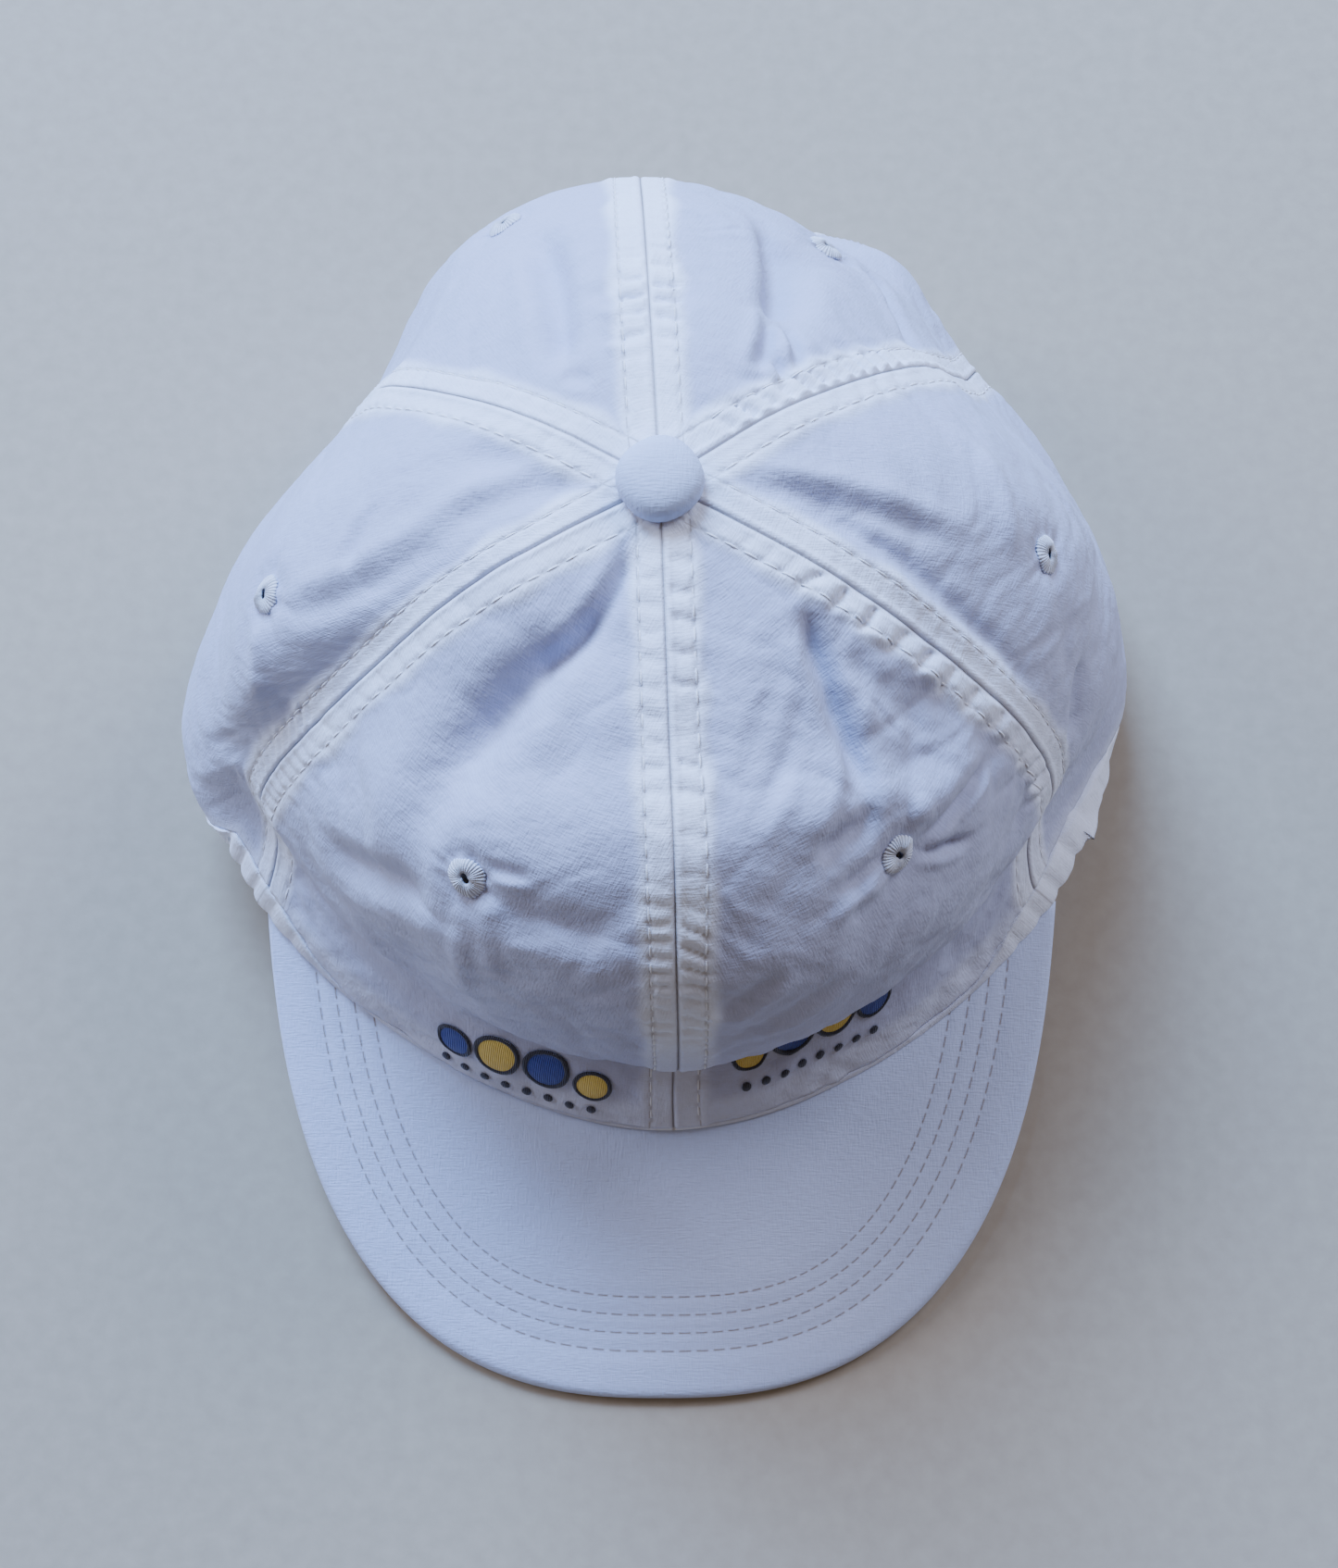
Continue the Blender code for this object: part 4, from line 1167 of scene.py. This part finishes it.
SATINS = {
    "gold": satin("gold_embroidery", (0.80, 0.60, 0.12), (0.52, 0.36, 0.06)),
    "blue": satin("blue_embroidery", (0.030, 0.060, 0.36), (0.012, 0.025, 0.16)),
    "dark": satin("dark_embroidery", (0.020, 0.022, 0.045), (0.008, 0.008, 0.016)),
}


def oval(half_width, half_height):
    """An oval's chart points about its middle, and the swell of its thread."""
    piece, a, b = grid("stitched", 16, 16)
    a, b = 2 * a - 1, 2 * b - 1
    u, v = a * np.sqrt(1 - b * b / 2), b * np.sqrt(1 - a * a / 2)
    return piece, u * half_width, v * half_height, 0.25 * (1 - (u * u + v * v) ** 2)


def border(half_width, half_height, inner=0.86, outer=1.14):
    """A dark cord of thread round an oval."""
    piece, around, over = grid("stitched", 56, 4)
    scale, turn = inner + (outer - inner) * (1 - over), 2 * pi * around
    u, v = half_width * scale * np.cos(turn), half_height * scale * np.sin(turn)
    return piece, u, v, 0.35 * np.sin(pi * over)


def dot(radius):
    """A small knot of thread."""
    piece, around, over = grid("stitched", 16, 4)
    reach, turn = radius * (1 - over), 2 * pi * around
    return piece, reach * np.cos(turn), reach * np.sin(turn), 0.3 * (1 - (1 - over) ** 2)


def embroider(name, colour, shapes):
    """Lays thread shapes on the cloth, joins them and gives them a little thickness."""
    pieces = []
    for k, x, y, (piece, u, v, swell) in shapes:
        middle = SKINS[k]["chart_place"](x, y)[0]
        spots, outs = on_skin(k, middle[0] + u, middle[1] + v)
        points = spots + outs * ((MOTIF_LIFT + swell) / 1000)[:, :, None]
        lay(piece, points, np.stack([u, v], -1) / 1000)
        pieces.append(piece)
    bpy.ops.object.select_all(action="DESELECT")
    for piece in pieces:
        piece.select_set(True)
    bpy.context.view_layer.objects.active = pieces[0]
    bpy.ops.object.join()
    joined = bpy.context.object
    joined.name = joined.data.name = name
    bpy.ops.object.mode_set(mode="EDIT")
    bpy.ops.mesh.select_all(action="SELECT")
    bpy.ops.mesh.remove_doubles(threshold=1e-6)
    bpy.ops.object.mode_set(mode="OBJECT")
    finish(joined, SATINS[colour], ("SOLIDIFY", {"thickness": MOTIF_LIFT / 1000, "offset": -1.0}))
    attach(joined, "root")


# Each panel's row of dots: where it starts across the panel, and how far down it runs.
DOT_ROWS = ((5, 0.52, 0.978), (0, 0.16, 0.972))
DOT_STEP = 0.045
DOTS_IN_ROW = 8
DOT_RADIUS = 1.0

motifs = [dict(zip(MOTIF_COLUMNS, values)) for values in MOTIFS]
for colour in ("gold", "blue"):
    embroider(f"ovals_{colour}", colour, [
        (m["panel"], m["x"], m["y"], oval(m["half_width"], m["half_height"]))
        for m in motifs if m["colour"] == colour
    ])
embroider("oval_borders", "dark", [
    (m["panel"], m["x"], m["y"], border(m["half_width"], m["half_height"])) for m in motifs
])
embroider("dots", "dark", [
    (k, start + DOT_STEP * n, down, dot(DOT_RADIUS))
    for k, start, down in DOT_ROWS for n in range(DOTS_IN_ROW)
])


# Top button
# A domed metal shell covered with the same cotton, its edge gathered underneath, riveted through the apex
# where the six panels meet.

BUTTON_DIAMETER = 0.0155
BUTTON_HEIGHT = 0.0062
BUTTON_BRIM = 0.26
BUTTON_GATHERS = 26
BUTTON_COTTON = cotton("white_cotton_button", (0.46, 0.53, 0.74), crumple=0.3)


def top_button():
    """A ball flattened to a dome over a rounded brim, with gathers under the brim."""
    piece = primitive(bpy.ops.mesh.primitive_uv_sphere_add, "button", segments=72, ring_count=40, radius=1)
    x, y, up = corners(piece).T
    turn, around = np.arctan2(y, x), np.sqrt(np.clip(1 - up**2, 0, 1))
    reach = BUTTON_DIAMETER / 2 * around ** 0.9 * (1 + 0.02 * np.cos(4 * turn + 0.7) * around)
    reach *= 1 + 0.012 * np.sin(BUTTON_GATHERS * turn) * fade(up, -0.1, -0.5) * around
    dome = BUTTON_BRIM + (1 - BUTTON_BRIM) * np.abs(up) ** 0.72
    height = BUTTON_HEIGHT * np.where(up > 0, dome, BUTTON_BRIM * (1 + np.tanh(2.2 * up)))
    points = np.stack([reach * np.cos(turn), reach * np.sin(turn), height], -1)
    points += np.array([0, BUTTON_SETBACK, CROWN_HEIGHT + CLEARANCE])
    lay(piece, points, points[:, :2])
    finish(piece, BUTTON_COTTON)
    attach(piece, "root")
    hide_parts("top_button")


top_button()


# Eyelets
# Air holes punched through the cloth and worked round with satin stitch in white thread: a lumpy, slightly
# uneven ring with a slit-like hole.

EYELET_PROUD = 0.0005
EYELET_WRAPS = 34
# How far each wrap of thread stands out sideways and upwards.
WRAP_HEIGHTS = (0.00016, 0.0002)
EYELET_SPREAD = 0.0009
EYELET_LIFT = 0.00012
EYELET_LOOK = Look("white_eyelet_thread", 0.7, sheen=0.1)
lumps = EYELET_LOOK.noise(1800.0, 3.0)
# The thread is darker between its wraps and towards the hole: painted shade. The lumps are its own uneven
# tone.
EYELET_LOOK.colour(EYELET_LOOK.blend(
    EYELET_LOOK.marks("wraps") * 0.8 + (lumps - 0.5) * 0.5, (0.36, 0.37, 0.42, 1), (0.72, 0.77, 0.91, 1)
))
EYELET_LOOK.bump(lumps, 0.0002, 0.7)


def eyelet(k):
    """A ring squeezed to a slit inside, wrapped in thread, that follows the cloth about it."""
    piece = primitive(
        bpy.ops.mesh.primitive_torus_add, "ring_" + PANELS[k],
        major_radius=1, minor_radius=0.5, major_segments=216, minor_segments=14,
    )
    chance = np.random.default_rng(500 + k)
    x, y, up = corners(piece).T
    turn, out_share = np.arctan2(y, x), np.hypot(x, y) - 0.5
    slit = chance.uniform(0, pi)
    hole = EYELET_HOLE / 2 * (0.36 + 0.38 * np.abs(np.cos(turn - slit)) ** 1.5)
    uneven = 0.94 + 0.04 * np.sin(3 * turn + chance.uniform(0, 6)) + 0.02 * np.sin(7 * turn)
    edge = EYELET_DIAMETER / 2 * uneven
    wraps = np.abs(np.cos(EYELET_WRAPS / 2 * turn + 0.6 * np.sin(5 * turn)))
    reach = hole + (edge - hole) * out_share + WRAP_HEIGHTS[0] * wraps * (0.3 + out_share)
    thick = EYELET_PROUD * (0.85 + 0.25 * np.sin(2 * turn + k) + 0.18 * np.sin(5 * turn + 2 * k))
    lift = 2 * up * (thick + WRAP_HEIGHTS[1] * wraps) * np.where(up > 0, 1, 0.8)
    points = np.stack([reach * np.cos(turn), reach * np.sin(turn), lift], -1)
    spot, outward = SKINS[k]["eyelet"]
    upright = np.array(Vector(outward).to_track_quat("Z", "Y").to_matrix())
    cloth = (SKINS[k]["points"].reshape(-1, 3) - spot) @ upright
    cloth = cloth[np.linalg.norm(cloth, axis=1) < EYELET_DIAMETER]
    apart = ((points[:, None, :2] - cloth[None, :, :2]) ** 2).sum(-1)
    pull = np.exp(-apart / EYELET_SPREAD ** 2) + 1e-12
    points[:, 2] += (pull * cloth[:, 2]).sum(1) / pull.sum(1) + EYELET_LIFT
    lay(piece, points @ upright.T + spot)
    # The wraps mark carries the painted shade between the wraps and at the ring's inner edge.
    mark(piece, wraps=wraps ** 1.6 * fade(out_share, -0.1, 0.5))
    finish(piece, EYELET_LOOK.material)
    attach(piece, "root")
    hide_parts("eyelet_" + PANELS[k])


for k in range(len(PANELS)):
    eyelet(k)


# Back strap
# A tape of folded cotton across the foot of the arch, sewn in under the hem at both ends, with a stitch row
# near each edge.

STRAP_HEIGHT = 0.020
STRAP_THICKNESS = 0.0016
STRAP_LAP = 0.014
STRAP_LIFT = 0.003
STRAP_ROOM = 0.0006
STRAP_COLUMNS = 120
STRAP_ROUND = 40
STRAP_SQUARENESS = 0.35
STRAP_ROW = 0.0025
STRAP_ROW_INSET = 0.002
STRAP_PINCH = (0.18, 0.0006)
STRAP_CHART_WIDTH = 0.043
STRAP_COTTON = cotton("white_cotton_strap", (0.76, 0.82, 0.94), crumple=0.6)
BACK_RIM = np.array([rim_point(place) for place in np.linspace(4.0, 8.0, 321)])


def strap_line(x):
    """The foot of the strap's outer face at some x, just inside the hem, and the level way out there."""
    foot = np.stack([x, np.interp(-x, -BACK_RIM[:, 0], BACK_RIM[:, 1]), 0 * x], -1)
    out = unit(foot)
    return foot - out * (HEM_THICKNESS - HEM_PROUD + STRAP_ROOM), out


def back_strap():
    piece, t, around = grid("strap", STRAP_COLUMNS, STRAP_ROUND)
    half = ARCH_WIDTH / 2 + STRAP_LAP
    foot, out = strap_line(half * (1 - 2 * t))
    up, depth = (boxy(wave(2 * pi * around), STRAP_SQUARENESS) for wave in (np.cos, np.sin))
    depth_share, spread = STRAP_PINCH
    pinch = 1 - depth_share * bell((1 - np.abs(up)) * STRAP_HEIGHT / 2 - STRAP_ROW, spread)
    points = foot + out * (STRAP_THICKNESS / 2 * (depth * pinch - 1))[:, :, None]
    points[:, :, 2] += STRAP_LIFT + STRAP_HEIGHT / 2 * (1 + up)
    lay(piece, points, np.stack([t * 2 * half, around * STRAP_CHART_WIDTH], -1))
    close(piece)
    finish(piece, STRAP_COTTON)
    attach(piece, "root")
    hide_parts("back_strap")
    foot, out = strap_line(np.linspace(half - STRAP_ROW_INSET, -half + STRAP_ROW_INSET, 90))
    for height in (STRAP_ROW, STRAP_HEIGHT - STRAP_ROW):
        line = foot + np.array([0, 0, STRAP_LIFT + height])
        sew(f"stitches_strap_{int(height * 1e4)}", line, out, WHITE_THREAD)


back_strap()


# Strap buckle
# A plain slide of brushed metal that the strap runs through, with softened edges. It stays at
# one place on the strap, a little to one side of the middle.

BUCKLE_WIDTH = 0.018
BUCKLE_WALL = 0.0020
BUCKLE_OFFSET = -0.012
BUCKLE_CUTS = 7
BUCKLE_EDGE = 0.0005
BUCKLE_LOOK = Look("brushed_steel", 0.38, metallic=1.0)
brushed = BUCKLE_LOOK.node("ShaderNodeMapping", None, {
    "Vector": BUCKLE_LOOK.node("ShaderNodeTexCoord", output="Object"), "Scale": (1.0, 1.0, 40.0),
})
grain = BUCKLE_LOOK.noise(90.0, 4.0, brushed)
BUCKLE_LOOK.colour(BUCKLE_LOOK.blend(grain, (0.62, 0.62, 0.63, 1), (0.50, 0.50, 0.52, 1)))
BUCKLE_LOOK.bump(grain, 0.00005, 0.5)


def strap_buckle():
    """A sleeve made from a cube: its ends are taken out, its walls bowed to the rim and thickened."""
    piece = primitive(bpy.ops.mesh.primitive_cube_add, "buckle", size=1)
    with reshaping(piece) as shape:
        ends = [face for face in shape.faces if abs(face.normal.x) > 0.9]
        bmesh.ops.delete(shape, geom=ends, context="FACES_ONLY")
        rails = [edge for edge in shape.edges if abs(edge.verts[0].co.x - edge.verts[1].co.x) > 0.5]
        bmesh.ops.subdivide_edges(shape, edges=rails, cuts=BUCKLE_CUTS, use_grid_fill=True)
    along, across, up = corners(piece).T
    points, out = strap_line(BUCKLE_OFFSET + BUCKLE_WIDTH * along)
    points += out * np.where(across > 0, CLEARANCE, -STRAP_THICKNESS - CLEARANCE)[:, None]
    points[:, 2] += STRAP_LIFT + STRAP_HEIGHT / 2 + (STRAP_HEIGHT + 2 * CLEARANCE) * up
    lay(piece, points)
    finish(
        piece, BUCKLE_LOOK.material,
        ("SOLIDIFY", {"thickness": BUCKLE_WALL, "offset": 1.0, "use_even_offset": True}),
        ("BEVEL", {"width": BUCKLE_EDGE, "segments": 3, "limit_method": "ANGLE"}),
    )
    piece.data.shade_flat()
    bpy.ops.object.shade_smooth_by_angle(angle=radians(35))
    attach(piece, "root")
    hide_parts("strap_buckle")


strap_buckle()


# Table, light and camera
# A plain pale table top, a large soft light from behind on the left and two weaker ones, a pale sky, and the
# camera above the cap and a little in front of it.

CAMERA_PLACE = (0.0016, -0.1255, 0.463)
CAMERA_TILT = 13.0
SENSOR = 36.0
FOCAL_SHARE = 2280 / 1694
TABLE_SIZE = 30.0
TABLE_DROP = 0.0002
LIT_POINT = (0, 0, 0.05)
SKY = (1.0, 0.82, 0.67, 1)
SKY_STRENGTH = 0.235

table = primitive(bpy.ops.mesh.primitive_plane_add, "table", size=TABLE_SIZE, location=(0, 0, -TABLE_DROP))
TABLE_LOOK = Look("pale_table", 0.85)
speck = TABLE_LOOK.noise(260.0, 4.0)
TABLE_LOOK.colour(TABLE_LOOK.blend(speck, (0.31, 0.26, 0.205, 1), (0.39, 0.34, 0.27, 1)))
TABLE_LOOK.bump(speck, 0.0002, 0.4)
table.data.materials.append(TABLE_LOOK.material)

# Name, place, size, power and colour.
LIGHTS = (
    ("window", (-0.50, 1.27, 1.16), 0.80, 116.0, (0.30, 0.53, 1.0)),
    ("side_window", (-1.10, 0.45, 0.85), 0.60, 15.0, (0.66, 0.72, 0.95)),
    ("right_window", (1.00, 0.90, 1.10), 0.70, 25.0, (0.66, 0.72, 0.95)),
)
for name, place, size, power, colour in LIGHTS:
    lamp = bpy.data.lights.new(name, "AREA")
    lamp.size, lamp.energy, lamp.color = size, power, colour
    lit = bpy.data.objects.new(name, lamp)
    lit.location = place
    lit.rotation_euler = (Vector(LIT_POINT) - Vector(place)).to_track_quat("-Z", "Y").to_euler()
    bpy.context.scene.collection.objects.link(lit)

world = bpy.data.worlds.new("pale_sky")
world.use_nodes = True
background = world.node_tree.nodes["Background"].inputs
background["Color"].default_value = SKY
background["Strength"].default_value = SKY_STRENGTH
bpy.context.scene.world = world

lens = bpy.data.cameras.new("camera")
lens.sensor_width = SENSOR
lens.lens = SENSOR * FOCAL_SHARE
camera = bpy.data.objects.new("camera", lens)
camera.location = Vector(CAMERA_PLACE) + Vector(SHIFT)
camera.rotation_euler = (radians(CAMERA_TILT), 0, 0)
bpy.context.scene.collection.objects.link(camera)
bpy.context.scene.camera = camera
